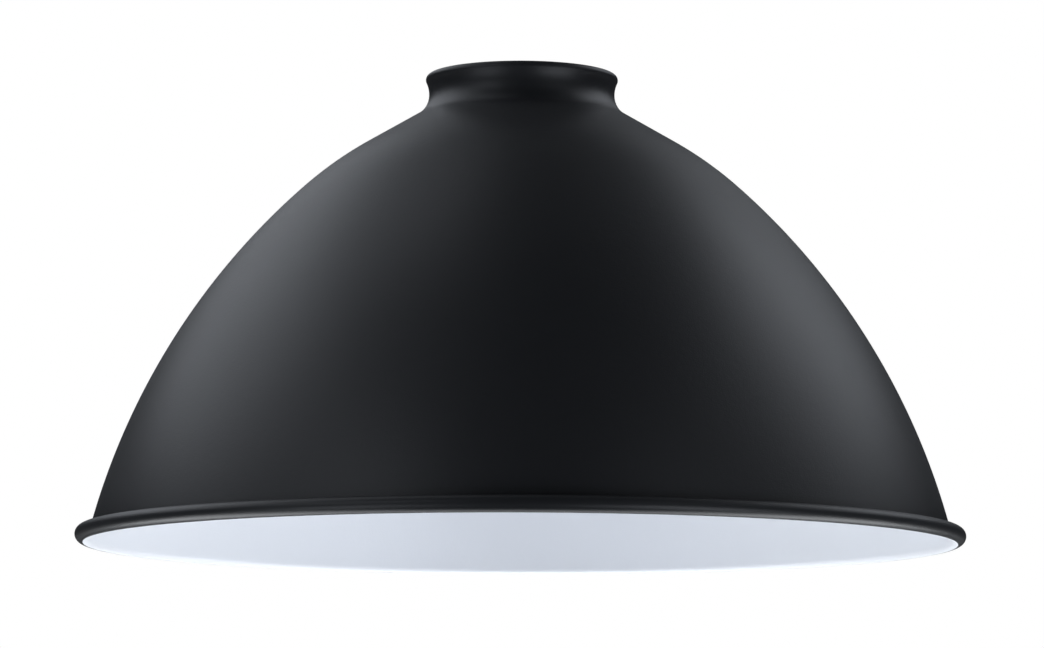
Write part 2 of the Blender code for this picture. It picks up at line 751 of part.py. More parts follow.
def make_contact_block():
    """The porcelain block: a disc with a slot for the neutral strap and a hole for the live stem."""
    porcelain = material("white porcelain", (0.82, 0.80, 0.76), 0.25)
    disc = turned(
        "contact_block",
        [
            (0, block_top()), (block_radius() - EDGE_CHAMFER, block_top()),
            (block_radius(), block_top() - EDGE_CHAMFER), (block_radius(), block_bottom() + EDGE_CHAMFER),
            (block_radius() - EDGE_CHAMFER, block_bottom()), (0, block_bottom()),
        ],
        porcelain, HOLDER_STEPS,
    )
    half = STRIP_WIDTH / 2 + FIT
    slot = block(
        "strap_slot", (strap_place() - FIT, -half, block_bottom() - OVERCUT),
        (strap_place() + STRIP_THICKNESS + FIT, half, block_top() + OVERCUT), cutter=True,
    )
    cut(disc, slot)
    hole = cylinder(
        "stem_hole", TERMINAL_STEM_RADIUS + FIT, block_top() + OVERCUT, block_bottom() - OVERCUT,
        (tongue_root(), 0.0), HOLE_STEPS, cutter=True,
    )
    cut(disc, hole)


def strap_place():
    return block_radius() - STRAP_MARGIN - STRIP_THICKNESS


def terminal_offset():
    return strap_place() - FIT - TERMINAL_LENGTH / 2


def tongue_root():
    return TONGUE_ROOT_IN - terminal_offset()


def make_terminals():
    """Brass blocks on the porcelain, each with a wire hole through it and a clamping screw from above."""
    brass = material("terminal brass", (0.70, 0.52, 0.22), 0.3, 1.0)
    low = block_top() + FIT
    high = low + TERMINAL_HEIGHT
    wire_height = low + TERMINAL_WIRE_HEIGHT
    half = TERMINAL_LENGTH / 2
    for name, side in (("live_terminal", -1), ("neutral_terminal", 1)):
        middle = side * terminal_offset()
        body = block(
            name, (middle - half, -TERMINAL_WIDTH / 2, low), (middle + half, TERMINAL_WIDTH / 2, high), brass
        )
        bevel(body, TERMINAL_EDGE)
        outer = middle + side * TERMINAL_SCREW_OUT
        wire_hole = crosswise_cylinder(
            name + "_wire_hole", TERMINAL_WIRE_HOLE, TERMINAL_WIDTH + 2 * OVERCUT, (outer, 0, wire_height),
            cutter=True,
        )
        cut(body, wire_hole)
        tapped = cylinder(
            name + "_tapping", TERMINAL_SCREW_RADIUS + FIT, high + OVERCUT, wire_height,
            (outer, 0.0), HOLE_STEPS, cutter=True,
        )
        cut(body, tapped)
        make_terminal_screw(name, outer, high, wire_height + TERMINAL_SCREW_BITE)
        if side < 0:
            stem = cylinder(
                "live_stem", TERMINAL_STEM_RADIUS, low + JOIN, block_bottom() - JOIN,
                (tongue_root(), 0.0), HOLE_STEPS, cutter=True,
            )
            cut(body, stem, "UNION")


def make_terminal_screw(name, across, terminal_top, foot):
    steel = material("screw steel", (0.6, 0.6, 0.6), 0.3, 1.0)
    head_low = terminal_top + FIT
    head_high = head_low + TERMINAL_SCREW_HEAD_HEIGHT
    screw = turned(
        name + "_screw",
        [
            (0, head_high), (TERMINAL_SCREW_HEAD, head_high), (TERMINAL_SCREW_HEAD, head_low),
            (TERMINAL_SCREW_RADIUS, head_low), (TERMINAL_SCREW_RADIUS, foot), (0, foot),
        ],
        steel, HOLE_STEPS,
    )
    screw.location = (across, 0.0, 0.0)
    reach = TERMINAL_SCREW_HEAD + OVERCUT
    slot_half = SMALL_SLOT_WIDTH / 2
    slot = block(
        name + "_slot", (across - reach, -slot_half, head_high - SMALL_SLOT_DEPTH),
        (across + reach, slot_half, head_high + OVERCUT), cutter=True,
    )
    cut(screw, slot)


# ---------------------------------------------------------------- lamp thread

def threaded_wall(name, middle, top, bottom, plain, finish):
    """A sleeve with the round lamp thread on one face and a plain cylinder as the other.

    The threaded face has radius = middle + half the depth times the cosine of (turn - height / pitch), a
    right hand helix. Over half a pitch at both ends it fades to the radius furthest from the mating thread.
    """
    clear = -1 if plain < middle else 1
    rows = round((top - bottom) / THREAD_PITCH * THREAD_ROWS)

    def build(shape):
        rings = []
        for row in range(rows + 1):
            height = bottom + (top - bottom) * row / rows
            end = min(height - bottom, top - height) / (THREAD_PITCH / 2)
            fade = min(1.0, end)
            ring = []
            for step in range(THREAD_STEPS):
                turn = 2 * math.pi * step / THREAD_STEPS
                wave = math.cos(turn - 2 * math.pi * height / THREAD_PITCH)
                radius = middle + THREAD_DEPTH / 2 * (fade * wave + (1 - fade) * clear)
                ring.append(shape.verts.new((radius * math.cos(turn), radius * math.sin(turn), height)))
            rings.append(ring)
        for height in (top, bottom):
            rings.append([
                shape.verts.new((
                    plain * math.cos(2 * math.pi * step / THREAD_STEPS),
                    plain * math.sin(2 * math.pi * step / THREAD_STEPS), height,
                ))
                for step in range(THREAD_STEPS)
            ])
        for low, high in zip(rings, rings[1:] + rings[:1]):
            for step in range(THREAD_STEPS):
                after = (step + 1) % THREAD_STEPS
                shape.faces.new((low[step], low[after], high[after], high[step]))

    return add(name, mesh_of(name, build), finish)


def shell_radius():
    return CAP_THREAD_RADIUS + THREAD_FIT + THREAD_DEPTH / 2 + SHELL_WALL


def make_screw_shell():
    """The brass shell: a rolled thread under a flat flange with an open middle."""
    brass = material("shell brass", (0.72, 0.55, 0.25), 0.28, 1.0)
    top = block_bottom() - FIT
    plate = top - STRIP_THICKNESS
    flange_edge = shell_radius() - JOIN / 2
    shell = threaded_wall(
        "screw_shell", CAP_THREAD_RADIUS + THREAD_FIT, plate + JOIN, top - SHELL_LENGTH, shell_radius(), brass
    )
    flange = turned(
        "shell_flange",
        [
            (SHELL_FLANGE_HOLE, top), (flange_edge, top), (flange_edge, plate), (SHELL_FLANGE_HOLE, plate),
        ],
        None, THREAD_STEPS, cutter=True,
    )
    cut(shell, flange, "UNION")


def make_shell_strap():
    """A flat strap that rises through the porcelain from the shell's flange to the neutral terminal."""
    brass = material("strap brass", (0.72, 0.55, 0.25), 0.3, 1.0)
    half = STRIP_WIDTH / 2
    block(
        "shell_strap", (strap_place(), -half, block_bottom()),
        (strap_place() + STRIP_THICKNESS, half, block_top() + FIT + STRAP_RISE), brass,
    )


def make_centre_contact():
    """The springy tongue under the block, fixed at one end and pressed by the bulb's contact at the other."""
    bronze = material("phosphor bronze", (0.75, 0.50, 0.25), 0.3, 1.0)
    top = block_bottom() - 2 * FIT
    half = STRIP_WIDTH / 2
    level = top - TONGUE_DROP
    root = tongue_root()
    line = [
        (root - TONGUE_PAD, top), (root + TONGUE_PAD, top), (root + TONGUE_BEND, level),
        (TONGUE_TIP, level), (TONGUE_TIP + TONGUE_LIFT_RUN, level + TONGUE_LIFT),
    ]

    def build(shape):
        upper = [shape.verts.new((x, -half, z)) for x, z in line]
        lower = [shape.verts.new((x, -half, z - STRIP_THICKNESS)) for x, z in line]
        face = shape.faces.new(upper + lower[::-1])
        grown = bmesh.ops.extrude_face_region(shape, geom=[face])
        moved = [item for item in grown["geom"] if isinstance(item, bmesh.types.BMVert)]
        bmesh.ops.translate(shape, verts=moved, vec=(0, STRIP_WIDTH, 0))

    add("centre_contact", mesh_of("centre_contact", build, smooth=False), bronze)


def make_holder_skirt():
    """The lower half of the holder: a spigot up into the cap, a flange and a sleeve round the shell."""
    phenolic = material("black phenolic skirt", (0.018, 0.016, 0.015), 0.3)
    flange_top = cap_bottom() - FIT
    flange_low = flange_top - SKIRT_FLANGE_HEIGHT
    bottom = flange_top - SKIRT_LENGTH
    inside = shell_radius() + FIT
    ledge = block_bottom() - FIT
    outside = inside + SKIRT_WALL
    spigot_inside = spigot_radius() - SPIGOT_WALL
    spigot_top = flange_top + SPIGOT_HEIGHT
    turned(
        "holder_skirt",
        [
            (spigot_inside, spigot_top), (spigot_radius(), spigot_top), (spigot_radius(), flange_top),
            (holder_radius(), flange_top), (holder_radius(), flange_low + SKIRT_EDGE),
            (holder_radius() - SKIRT_EDGE, flange_low), (outside, flange_low - EDGE_CHAMFER),
            (outside, bottom + SKIRT_EDGE), (outside - SKIRT_EDGE, bottom), (inside, bottom),
            (inside, ledge), (spigot_inside, ledge),
        ],
        phenolic, HOLDER_STEPS,
    )


# ---------------------------------------------------------------- bulb

def bulb_top():
    return block_bottom() - 2 * FIT - TONGUE_DROP - STRIP_THICKNESS - FIT


def cap_top():
    return bulb_top() - CONTACT_HEIGHT - INSULATOR_HEIGHT - FIT


def make_bulb_contact():
    low = bulb_top() - CONTACT_HEIGHT
    turned(
        "bulb_contact",
        [
            (0, bulb_top()), (CONTACT_CROWN, bulb_top() - JOIN), (CONTACT_RADIUS, low + THREAD_CHAMFER),
            (CONTACT_RADIUS, low), (0, low),
        ],
        material("solder", (0.62, 0.62, 0.6), 0.4, 1.0), THREAD_STEPS,
    )


def make_bulb_insulator():
    top = bulb_top() - CONTACT_HEIGHT - FIT
    low = cap_top()
    turned(
        "bulb_insulator",
        [
            (0, top), (INSULATOR_TOP_RADIUS, top), (INSULATOR_RADIUS, low + THREAD_CHAMFER),
            (INSULATOR_RADIUS, low), (0, low),
        ],
        material("black glass", (0.01, 0.01, 0.012), 0.15), THREAD_STEPS,
    )


def make_bulb_cap():
    """The bulb's aluminium cap: a rounded top, the lamp thread and a plain collar that takes the glass."""
    aluminium = material("rolled aluminium", (0.75, 0.75, 0.76), 0.3, 1.0)
    top = cap_top() - FIT
    thread_top = top - CAP_CROWN_HEIGHT
    collar_top = top - CAP_HEIGHT + CAP_COLLAR_HEIGHT
    root = CAP_THREAD_RADIUS - THREAD_DEPTH / 2
    inside = root - CAP_WALL
    cap = threaded_wall("bulb_cap", CAP_THREAD_RADIUS, thread_top, collar_top, inside, aluminium)
    crown_foot = thread_top - JOIN
    crown_inside = inside + JOIN / 2
    ledge = INSULATOR_RADIUS - CAP_CROWN_LEDGE
    crown = turned(
        "bulb_cap_crown",
        [
            (ledge, top), (INSULATOR_RADIUS, top), (root - CAP_WALL, top - CAP_CROWN_HEIGHT / 2),
            (root - JOIN / 2, crown_foot), (crown_inside, crown_foot),
            (crown_inside, crown_foot + CAP_WALL), (ledge, top - 2 * CAP_WALL),
        ],
        None, THREAD_STEPS, cutter=True,
    )
    cut(cap, crown, "UNION")
    collar = turned(
        "bulb_cap_collar",
        [
            (crown_inside, collar_top + JOIN), (CAP_THREAD_RADIUS + JOIN, collar_top + JOIN),
            (CAP_THREAD_RADIUS + CAP_COLLAR_FLARE, top - CAP_HEIGHT), (crown_inside, top - CAP_HEIGHT),
        ],
        None, THREAD_STEPS, cutter=True,
    )
    cut(cap, collar, "UNION")


def glass_neck_radius():
    return CAP_THREAD_RADIUS - THREAD_DEPTH / 2 - CAP_WALL - GLASS_NECK_GAP


def neck_top():
    return cap_top() - FIT - GLASS_NECK_INSERT


def make_bulb_glass():
    """The envelope: a straight neck inside the cap that flows into a globe, open only at the neck's top."""
    bottom = bulb_top() - BULB_LENGTH
    centre = bottom + GLOBE_RADIUS
    collar = cap_top() - FIT - CAP_HEIGHT
    globe = (GLOBE_RADIUS * math.cos(GLOBE_JOIN), centre + GLOBE_RADIUS * math.sin(GLOBE_JOIN))
    outer = [(glass_neck_radius(), neck_top()), (glass_neck_radius(), collar)]
    for number in range(1, 4):
        share = number / 4
        ease = share**2 * (3 - 2 * share) * (1 - FLARE_LAG * (1 - share))
        outer.append((
            glass_neck_radius() + (globe[0] - glass_neck_radius()) * ease,
            collar + (globe[1] - collar) * share,
        ))
    outer += arc((0.0, centre), GLOBE_RADIUS, GLOBE_JOIN, -math.pi / 2, 9)
    outer[-1] = (0.0, bottom)
    mesh = bpy.data.meshes.new("bulb_glass")
    mesh.from_pydata(
        [(radius, 0.0, height) for radius, height in outer],
        [(i, i + 1) for i in range(len(outer) - 1)], [],
    )
    glass = add("bulb_glass", mesh, material("clear glass", (1.0, 1.0, 1.0), 0.02, 0.0, 1.0))
    spin(glass, GLASS_STEPS)
    wall = glass.modifiers.new("wall", "SOLIDIFY")
    wall.thickness = GLASS_WALL
    wall.offset = -1.0
    wall.use_even_offset = True


def stem_tip():
    return neck_top() - STEM_LENGTH


def make_bulb_stem():
    """The glass mount: a flare in the neck, a tube, and the rod that the filaments stand round."""
    top = neck_top()
    tip = stem_tip()
    rim = top - ROD_RADIUS
    flare = glass_neck_radius() - GLASS_WALL - STEM_FLARE_GAP
    turned(
        "bulb_stem",
        [
            (0, rim), (flare - ROD_RADIUS / 2, top), (flare, top),
            (flare, rim), (STEM_RADIUS + STEM_TAPER, top - STEM_FLARE_HEIGHT / 2),
            (STEM_RADIUS, top - STEM_FLARE_HEIGHT), (STEM_RADIUS, tip + STEM_TAPER), (ROD_RADIUS, tip),
            (ROD_RADIUS, tip - ROD_LENGTH), (0, tip - ROD_LENGTH),
        ],
        material("stem glass", (0.95, 0.96, 0.96), 0.05, 0.0, 1.0), HOLE_STEPS,
    )


def filament_ends(number):
    turn = 2 * math.pi * (number - 0.5) / FILAMENT_COUNT
    top = stem_tip() - FILAMENT_START
    upper = Vector((FILAMENT_TOP_CIRCLE * math.cos(turn), FILAMENT_TOP_CIRCLE * math.sin(turn), top))
    lower = Vector((
        FILAMENT_FOOT_CIRCLE * math.cos(turn), FILAMENT_FOOT_CIRCLE * math.sin(turn), top - FILAMENT_DROP
    ))
    return upper, lower


def make_filaments():
    """Four coated sticks that lean outwards from the stem's tip."""
    phosphor = material("yellow phosphor", (0.85, 0.62, 0.12), 0.6)
    for number in range(1, FILAMENT_COUNT + 1):
        upper, lower = filament_ends(number)
        line = (lower - upper).normalized()
        ends = (upper + line * WIRE_GAP * 2, lower - line * WIRE_GAP * 2)
        wire(f"filament_{number}", ends, FILAMENT_RADIUS, phosphor)


def make_lead_wires():
    """Each lead leaves the stem's press and joins the tops of two neighbouring filaments."""
    nickel = material("nickel wire", (0.6, 0.58, 0.54), 0.3, 1.0)
    for number, pair in ((1, (1, 2)), (2, (3, 4))):
        tops = [filament_ends(index)[0] for index in pair]
        lift = Vector((0, 0, LEAD_RADIUS + WIRE_GAP))
        first, second = [top + lift for top in tops]
        middle = (first + second) / 2
        out = Vector((middle.x, middle.y, 0)).normalized()
        beside = out * (STEM_RADIUS + LEAD_RADIUS + WIRE_GAP)
        start = beside + Vector((0, 0, stem_tip() + LEAD_START))
        bend = beside + Vector((0, 0, first.z + LEAD_BEND))
        wire(f"lead_wire_{number}", [start, bend, first, second], LEAD_RADIUS, nickel)


def make_spider():
    """A bent wire that joins the filaments' lower ends, round the foot of the rod."""
    nickel = material("spider wire", (0.6, 0.58, 0.54), 0.3, 1.0)
    drop = LEAD_RADIUS + WIRE_GAP
    feet = [filament_ends(number)[1] - Vector((0, 0, drop)) for number in range(1, FILAMENT_COUNT + 1)]
    wire("filament_spider", feet, LEAD_RADIUS, nickel)


make_shade()
make_seating_ring()
make_carrier()
make_gland()
make_nipple()
make_lock_washer()
make_lock_nut()
make_earth_terminal()
make_holder_cap()
make_contact_block()
make_terminals()
make_screw_shell()
make_shell_strap()
make_centre_contact()
make_holder_skirt()
make_bulb_contact()
make_bulb_insulator()
make_bulb_cap()
make_bulb_glass()
make_bulb_stem()
make_filaments()
make_lead_wires()
make_spider()
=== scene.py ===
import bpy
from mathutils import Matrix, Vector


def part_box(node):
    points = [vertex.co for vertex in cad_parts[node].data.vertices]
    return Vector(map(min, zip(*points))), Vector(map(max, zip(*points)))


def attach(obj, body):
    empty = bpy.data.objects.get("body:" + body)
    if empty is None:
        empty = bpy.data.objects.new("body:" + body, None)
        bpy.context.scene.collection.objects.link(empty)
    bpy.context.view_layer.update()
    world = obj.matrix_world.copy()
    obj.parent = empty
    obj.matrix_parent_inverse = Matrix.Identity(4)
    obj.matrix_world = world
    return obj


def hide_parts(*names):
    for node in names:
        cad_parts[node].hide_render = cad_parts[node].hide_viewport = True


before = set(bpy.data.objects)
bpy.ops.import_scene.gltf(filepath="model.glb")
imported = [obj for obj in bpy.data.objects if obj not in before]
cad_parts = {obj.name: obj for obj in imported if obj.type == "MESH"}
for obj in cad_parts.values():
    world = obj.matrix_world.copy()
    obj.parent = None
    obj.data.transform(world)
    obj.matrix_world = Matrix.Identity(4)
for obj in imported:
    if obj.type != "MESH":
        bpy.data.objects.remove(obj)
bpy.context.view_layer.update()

import bmesh
import bpy
import numpy as np
from mathutils import Matrix, Vector

# --------
# Shade. One disc of 0.8 mm steel, spun over a form into a dome with a short lipped neck, its rim
# curled outwards into a bead. Powder coated satin black outside and white inside.


POLE_MERGE = 1e-7
SHARP_ANGLE = np.radians(40)


class Signal:
    """One socket in a material's node tree. Arithmetic on it adds Math nodes."""

    def __init__(self, tree, socket=None):
        self.tree = tree
        self.socket = socket

    def node(self, kind, settings=(), sockets=(), output=0):
        """Adds any node: its settings first, then its sockets by name or number, as links or values."""
        made = self.tree.nodes.new(kind)
        for key, value in dict(settings).items():
            if key == "stops":
                for stop, (place, level) in zip(made.color_ramp.elements, value):
                    stop.position = place
                    stop.color = (level, level, level, 1.0)
            else:
                setattr(made, key, value)
        for key, value in dict(sockets).items():
            if isinstance(value, Signal):
                self.tree.links.new(value.socket, made.inputs[key])
            else:
                made.inputs[key].default_value = value
        return Signal(self.tree, made.outputs[output])

    def math(self, operation, *values):
        return self.node("ShaderNodeMath", {"operation": operation}, dict(enumerate(values)))

    def __add__(self, other):
        return self.math("ADD", self, other)

    def __sub__(self, other):
        return self.math("SUBTRACT", self, other)

    def __rsub__(self, other):
        return self.math("SUBTRACT", other, self)

    def __mul__(self, other):
        return self.math("MULTIPLY", self, other)

    __radd__ = __add__
    __rmul__ = __mul__

    def clamped(self):
        return self.node("ShaderNodeClamp", {}, {0: self})

    def mix(self, low, high):
        """The colour between two, by this signal."""
        return self.node("ShaderNodeMix", {"data_type": "RGBA"}, {0: self, 6: low, 7: high}, 2)


class Finish:
    """A procedural material on Object coordinates, with one way in for each thing that varies."""

    def __init__(self, name, colour, roughness, metallic=0.0, fixed=()):
        self.material = bpy.data.materials.new(name)
        self.material.use_nodes = True
        tree = self.material.node_tree
        self.shader = tree.nodes["Principled BSDF"]
        self.start = Signal(tree)
        self.place = self.start.node("ShaderNodeTexCoord", output="Object")
        values = {"Base Color": (*colour, 1.0), "Roughness": roughness, "Metallic": metallic, **dict(fixed)}
        for key, value in values.items():
            self.shader.inputs[key].default_value = value

    def mapped(self, scale=(1.0, 1.0, 1.0), shift=(0.0, 0.0, 0.0)):
        sockets = {0: self.place, 1: shift, 3: scale}
        return self.start.node("ShaderNodeMapping", {"vector_type": "POINT"}, sockets)

    def noise(self, scale, detail=3.0, rough=0.5, place=None):
        """Even noise between 0 and 1, with about `scale` features to the metre."""
        return self.start.node("ShaderNodeTexNoise", {}, {
            "Vector": place or self.place, "Scale": scale, "Detail": detail, "Roughness": rough,
        })

    def cells(self, scale):
        """Distance to the nearest of scattered points: small round grains."""
        return self.start.node("ShaderNodeTexVoronoi", {}, {"Vector": self.place, "Scale": scale})

    def lathe(self, scale, centre=(0.0, 0.0)):
        """Noise that changes only with height and distance from an upright axis: the lines of turning."""
        flat = self.mapped((1.0, 1.0, 0.0), (-centre[0], -centre[1], 0.0))
        radius = self.start.node("ShaderNodeVectorMath", {"operation": "LENGTH"}, {0: flat}, 1)
        across = self.start.node("ShaderNodeCombineXYZ", {}, {0: radius})
        along = self.mapped((0.0, 0.0, 1.0))
        ringed = self.start.node("ShaderNodeVectorMath", {"operation": "ADD"}, {0: across, 1: along})
        return self.noise(scale, 2, 0.6, ringed)

    def attribute(self, name):
        return self.start.node("ShaderNodeAttribute", {"attribute_name": name}, output="Fac")

    def set(self, key, signal):
        self.start.tree.links.new(signal.socket, self.shader.inputs[key])

    def bump(self, height, distance, strength=1.0):
        self.set("Normal", self.start.node("ShaderNodeBump", {}, {
            "Strength": strength, "Distance": distance, "Height": height,
        }))


def surface(name, points, body, finish, slot, *replaced):
    """A mesh through a grid of points (rows, columns, xyz), with its faces turned outwards.

    Columns wrap round. Rows wrap too, unless the first row is a pole, where the first and last rows are
    each merged to a point.
    """
    closed = np.ptp(points[0], axis=0).max() > POLE_MERGE
    rows, columns = points.shape[:2]
    index = np.arange(rows * columns).reshape(rows, columns)
    low, high = (index, np.roll(index, -1, 0)) if closed else (index[:-1], index[1:])
    corners = [low, np.roll(low, -1, 1), np.roll(high, -1, 1), high]
    faces = np.stack(corners, -1).reshape(-1, 4)
    place = points.reshape(-1, 3)
    first, second, third, fourth = (place[faces[:, corner]] for corner in range(4))
    doubled_area = np.cross(second - first, third - first) + np.cross(third - first, fourth - first)
    if (doubled_area * first).sum() < 0:
        faces = faces[:, ::-1]
    mesh = bpy.data.meshes.new(name)
    mesh.from_pydata(place.tolist(), [], faces.tolist())
    if not closed:
        shape = bmesh.new()
        shape.from_mesh(mesh)
        bmesh.ops.remove_doubles(shape, verts=shape.verts, dist=POLE_MERGE)
        shape.to_mesh(mesh)
        shape.free()
    mesh.shade_smooth()
    mesh.set_sharp_from_angle(angle=SHARP_ANGLE)
    piece = bpy.data.objects.new(name, mesh)
    bpy.context.scene.collection.objects.link(piece)
    mesh.materials.append(finish.material)
    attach(piece, body)
    if replaced:
        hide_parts(*replaced)
    return piece


def turned(profile, columns=256):
    """Grid of a profile of (radius, height) turned about Z: x = r cos t, y = r sin t."""
    turn = np.linspace(0, 2 * np.pi, columns, endpoint=False)
    radius, height = profile[:, 0, None], profile[:, 1, None]
    return np.stack([radius * np.cos(turn), radius * np.sin(turn), height + 0 * turn], -1)


def arc(centre, radius, start, end, steps):
    """Points round a circle: centre + radius (cos a, sin a), for even angles a from start to end."""
    angle = np.linspace(start, end, steps + 1)
    return np.stack([centre[0] + radius * np.cos(angle), centre[1] + radius * np.sin(angle)], -1)


SHADE_WALL = 0.0008
CURL_RADIUS = 0.0024
CURL_END = np.radians(124)
NECK_RADIUS = 0.0274
NECK_FILLET = 0.0074
SHOULDER_ANGLE = np.radians(59.5)
SHOULDER_LENGTH = 0.018
CROWN_RADIUS = 0.110
CROWN_ANGLE = np.radians(48)
FLARE_RADIUS = 0.0090
FLARE_ANGLE = np.radians(25)
LIP_ROLL = 0.0015
LIP_ROLL_END = np.radians(165)
shade_low, shade_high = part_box("shade_shell")
shade_radius = shade_high[0]


def shade_face(offset):
    """One face of the shade's wall, from lip to curl, at a signed distance from the wall's middle.

    Arcs that bulge outwards grow by the offset and hollow ones shrink. The side is the one arc that leaves
    the crown smoothly and touches the curl.
    """
    half = SHADE_WALL / 2
    roll = LIP_ROLL - half
    flare = FLARE_RADIUS + half
    fillet = NECK_FILLET + half
    waist = NECK_RADIUS - half
    lip = (waist + (1 - np.cos(FLARE_ANGLE)) * (flare + roll) - roll, shade_high[2] - LIP_ROLL)
    waist_height = lip[1] - np.sin(FLARE_ANGLE) * (flare + roll)
    lines = [arc(lip, roll + offset, LIP_ROLL_END, -FLARE_ANGLE, 26)]
    lines.append(arc((waist + flare, waist_height), flare - offset, np.pi - FLARE_ANGLE, np.pi, 8)[1:])
    turn_end = np.pi + SHOULDER_ANGLE
    lines.append(arc((waist + fillet, waist_height), fillet - offset, np.pi, turn_end, 18)[1:])
    slope = np.array([np.sin(SHOULDER_ANGLE), -np.cos(SHOULDER_ANGLE)])
    shoulder_end = lines[-1][-1] + SHOULDER_LENGTH * slope
    lines.append(lines[-1][-1] + np.linspace(0.1, 1, 10)[:, None] * SHOULDER_LENGTH * slope)
    outwards = np.array([np.cos(SHOULDER_ANGLE), np.sin(SHOULDER_ANGLE)])
    crown = shoulder_end - (CROWN_RADIUS - half + offset) * outwards
    lines.append(arc(crown, CROWN_RADIUS - half + offset, SHOULDER_ANGLE, CROWN_ANGLE, 12)[1:])
    normal = np.array([np.cos(CROWN_ANGLE), np.sin(CROWN_ANGLE)])
    crown_end = crown + (CROWN_RADIUS - half) * normal
    curl = CURL_RADIUS - half
    curl_centre = np.array([shade_radius - CURL_RADIUS, shade_low[2] + CURL_RADIUS])
    gap = curl_centre - crown_end - curl * normal
    side = -(gap @ gap) / (2 * gap @ normal) - curl
    side_centre = crown_end - side * normal
    rim_angle = np.arctan2(*(curl_centre - side_centre)[::-1])
    lines.append(arc(side_centre, side + offset, CROWN_ANGLE, rim_angle, 50)[1:])
    lines.append(arc(curl_centre, curl - offset, rim_angle - np.pi, rim_angle + CURL_END, 44)[1:])
    return np.concatenate(lines)


outer_face = shade_face(SHADE_WALL / 2)
inner_face = shade_face(-SHADE_WALL / 2)
outline = np.concatenate([outer_face, inner_face[::-1]])
shade_points = turned(outline)
black_coat = (0.0125, 0.0132, 0.0150)
coat = Finish("two tone powder coat", black_coat, 0.42, fixed={"Specular IOR Level": 0.3})
shade = surface("spun_shade", shade_points, "shade", coat, "black_powder_coat", "shade_shell")

# how far each row lies on the white side of the two paint edges: the bottom of the curl, and the lip
curl_bottom = np.argmin(inner_face[:, 1])
lip_edge = np.argmax(inner_face[:26, 1]) + 12
along = np.concatenate([[0], np.cumsum(np.hypot(*np.diff(inner_face, axis=0).T))])
inside = np.minimum(along - along[lip_edge], along[curl_bottom] - along)
whiteness = np.concatenate([np.full(len(outer_face), inside.min()), inside[::-1]])
painted = shade.data.attributes.new("white_side", "FLOAT", "POINT")
painted.data.foreach_set("value", np.repeat(whiteness, shade_points.shape[1]).astype(np.float32) * 1000)

edge_wander = coat.noise(900, 2) - 0.5
mask = ((coat.attribute("white_side") + edge_wander * 0.25) * 6 + 0.5).clamped()
mottle = coat.noise(14, 4, 0.6)
grain = coat.noise(2600, 2, 0.6)
dark = mottle.mix((0.0105, 0.0112, 0.0128, 1), (0.0145, 0.0152, 0.0172, 1))
pale = mottle.mix((0.80, 0.82, 0.86, 1), (0.85, 0.865, 0.90, 1))
coat.set("Base Color", mask.mix(dark, pale))
coat.set("Roughness", 0.37 + mottle * 0.05 + grain * 0.06)
coat.bump(grain + coat.noise(700, 2, 0.5) * 0.6, 0.00004, 0.8)

# --------
# Seating ring. A flat silicone gasket, cut from sheet, that lies under the shade's shoulder and keeps
# the steel carrier from chipping the paint.


def rounded(corners, fillets, closed=True, steps=5):
    """A path through corners in the plane or in space, each corner an arc that touches both of its sides.

    The arc's radius is the fillet, or less where a side is short. An open path keeps its two ends.
    """
    corners = np.asarray(corners, float)
    back, ahead = np.roll(corners, 1, 0) - corners, np.roll(corners, -1, 0) - corners
    back_length, ahead_length = np.linalg.norm(back, axis=1), np.linalg.norm(ahead, axis=1)
    back, ahead = back / back_length[:, None], ahead / ahead_length[:, None]
    half = np.arccos(np.clip((back * ahead).sum(1), -1, 1)) / 2
    run = np.minimum(fillets / np.tan(half), 0.48 * np.minimum(back_length, ahead_length))
    middle = (back + ahead) / np.linalg.norm(back + ahead, axis=1)[:, None]
    centre = corners + middle * (run / np.cos(half))[:, None]
    sweep = (np.pi - 2 * half)[:, None]
    share = np.linspace(0, 1, steps + 1)
    from_start = (np.sin((1 - share) * sweep) / np.sin(sweep))[..., None]
    from_end = (np.sin(share * sweep) / np.sin(sweep))[..., None]
    start, end = corners + back * run[:, None] - centre, corners + ahead * run[:, None] - centre
    turns = centre[:, None] + from_start * start[:, None] + from_end * end[:, None]
    if closed:
        return turns.reshape(-1, corners.shape[1])
    return np.concatenate([corners[:1], turns[1:-1].reshape(-1, corners.shape[1]), corners[-1:]])


GAP = 0.0003
SEAT_WIDTH = 0.0060
SEAT_THICKNESS = 0.0012
down_slope = np.array([np.sin(SHOULDER_ANGLE), -np.cos(SHOULDER_ANGLE)])
inward = -np.array([np.cos(SHOULDER_ANGLE), np.sin(SHOULDER_ANGLE)])
ring_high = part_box("seating_ring")[1]
seat_start = np.array([ring_high[0] - SEAT_WIDTH * down_slope[0], ring_high[2]])
seat_corners = [
    seat_start, seat_start + SEAT_WIDTH * down_slope,
    seat_start + SEAT_WIDTH * down_slope + SEAT_THICKNESS * inward, seat_start + SEAT_THICKNESS * inward,
]
silicone = Finish("grey silicone", (0.30, 0.30, 0.29), 0.6, fixed={"Specular IOR Level": 0.35})
bloom = silicone.noise(60, 4, 0.6)
silicone.set("Base Color", bloom.mix((0.25, 0.25, 0.245, 1), (0.34, 0.34, 0.33, 1)))
silicone.set("Roughness", 0.5 + bloom * 0.25)
silicone.bump(silicone.noise(1800, 2), 0.00005, 0.6)
seat_points = turned(rounded(seat_corners, 0.00035), 192)
surface("silicone_seat", seat_points, "seat", silicone, "grey_silicone", "seating_ring")

# --------
# Carrier. A dish pressed from 1.2 mm steel, with five vents and an earth hole pierced through its
# floor. Zinc plated and blue passivated, so that it has a faint cloudy spangle.


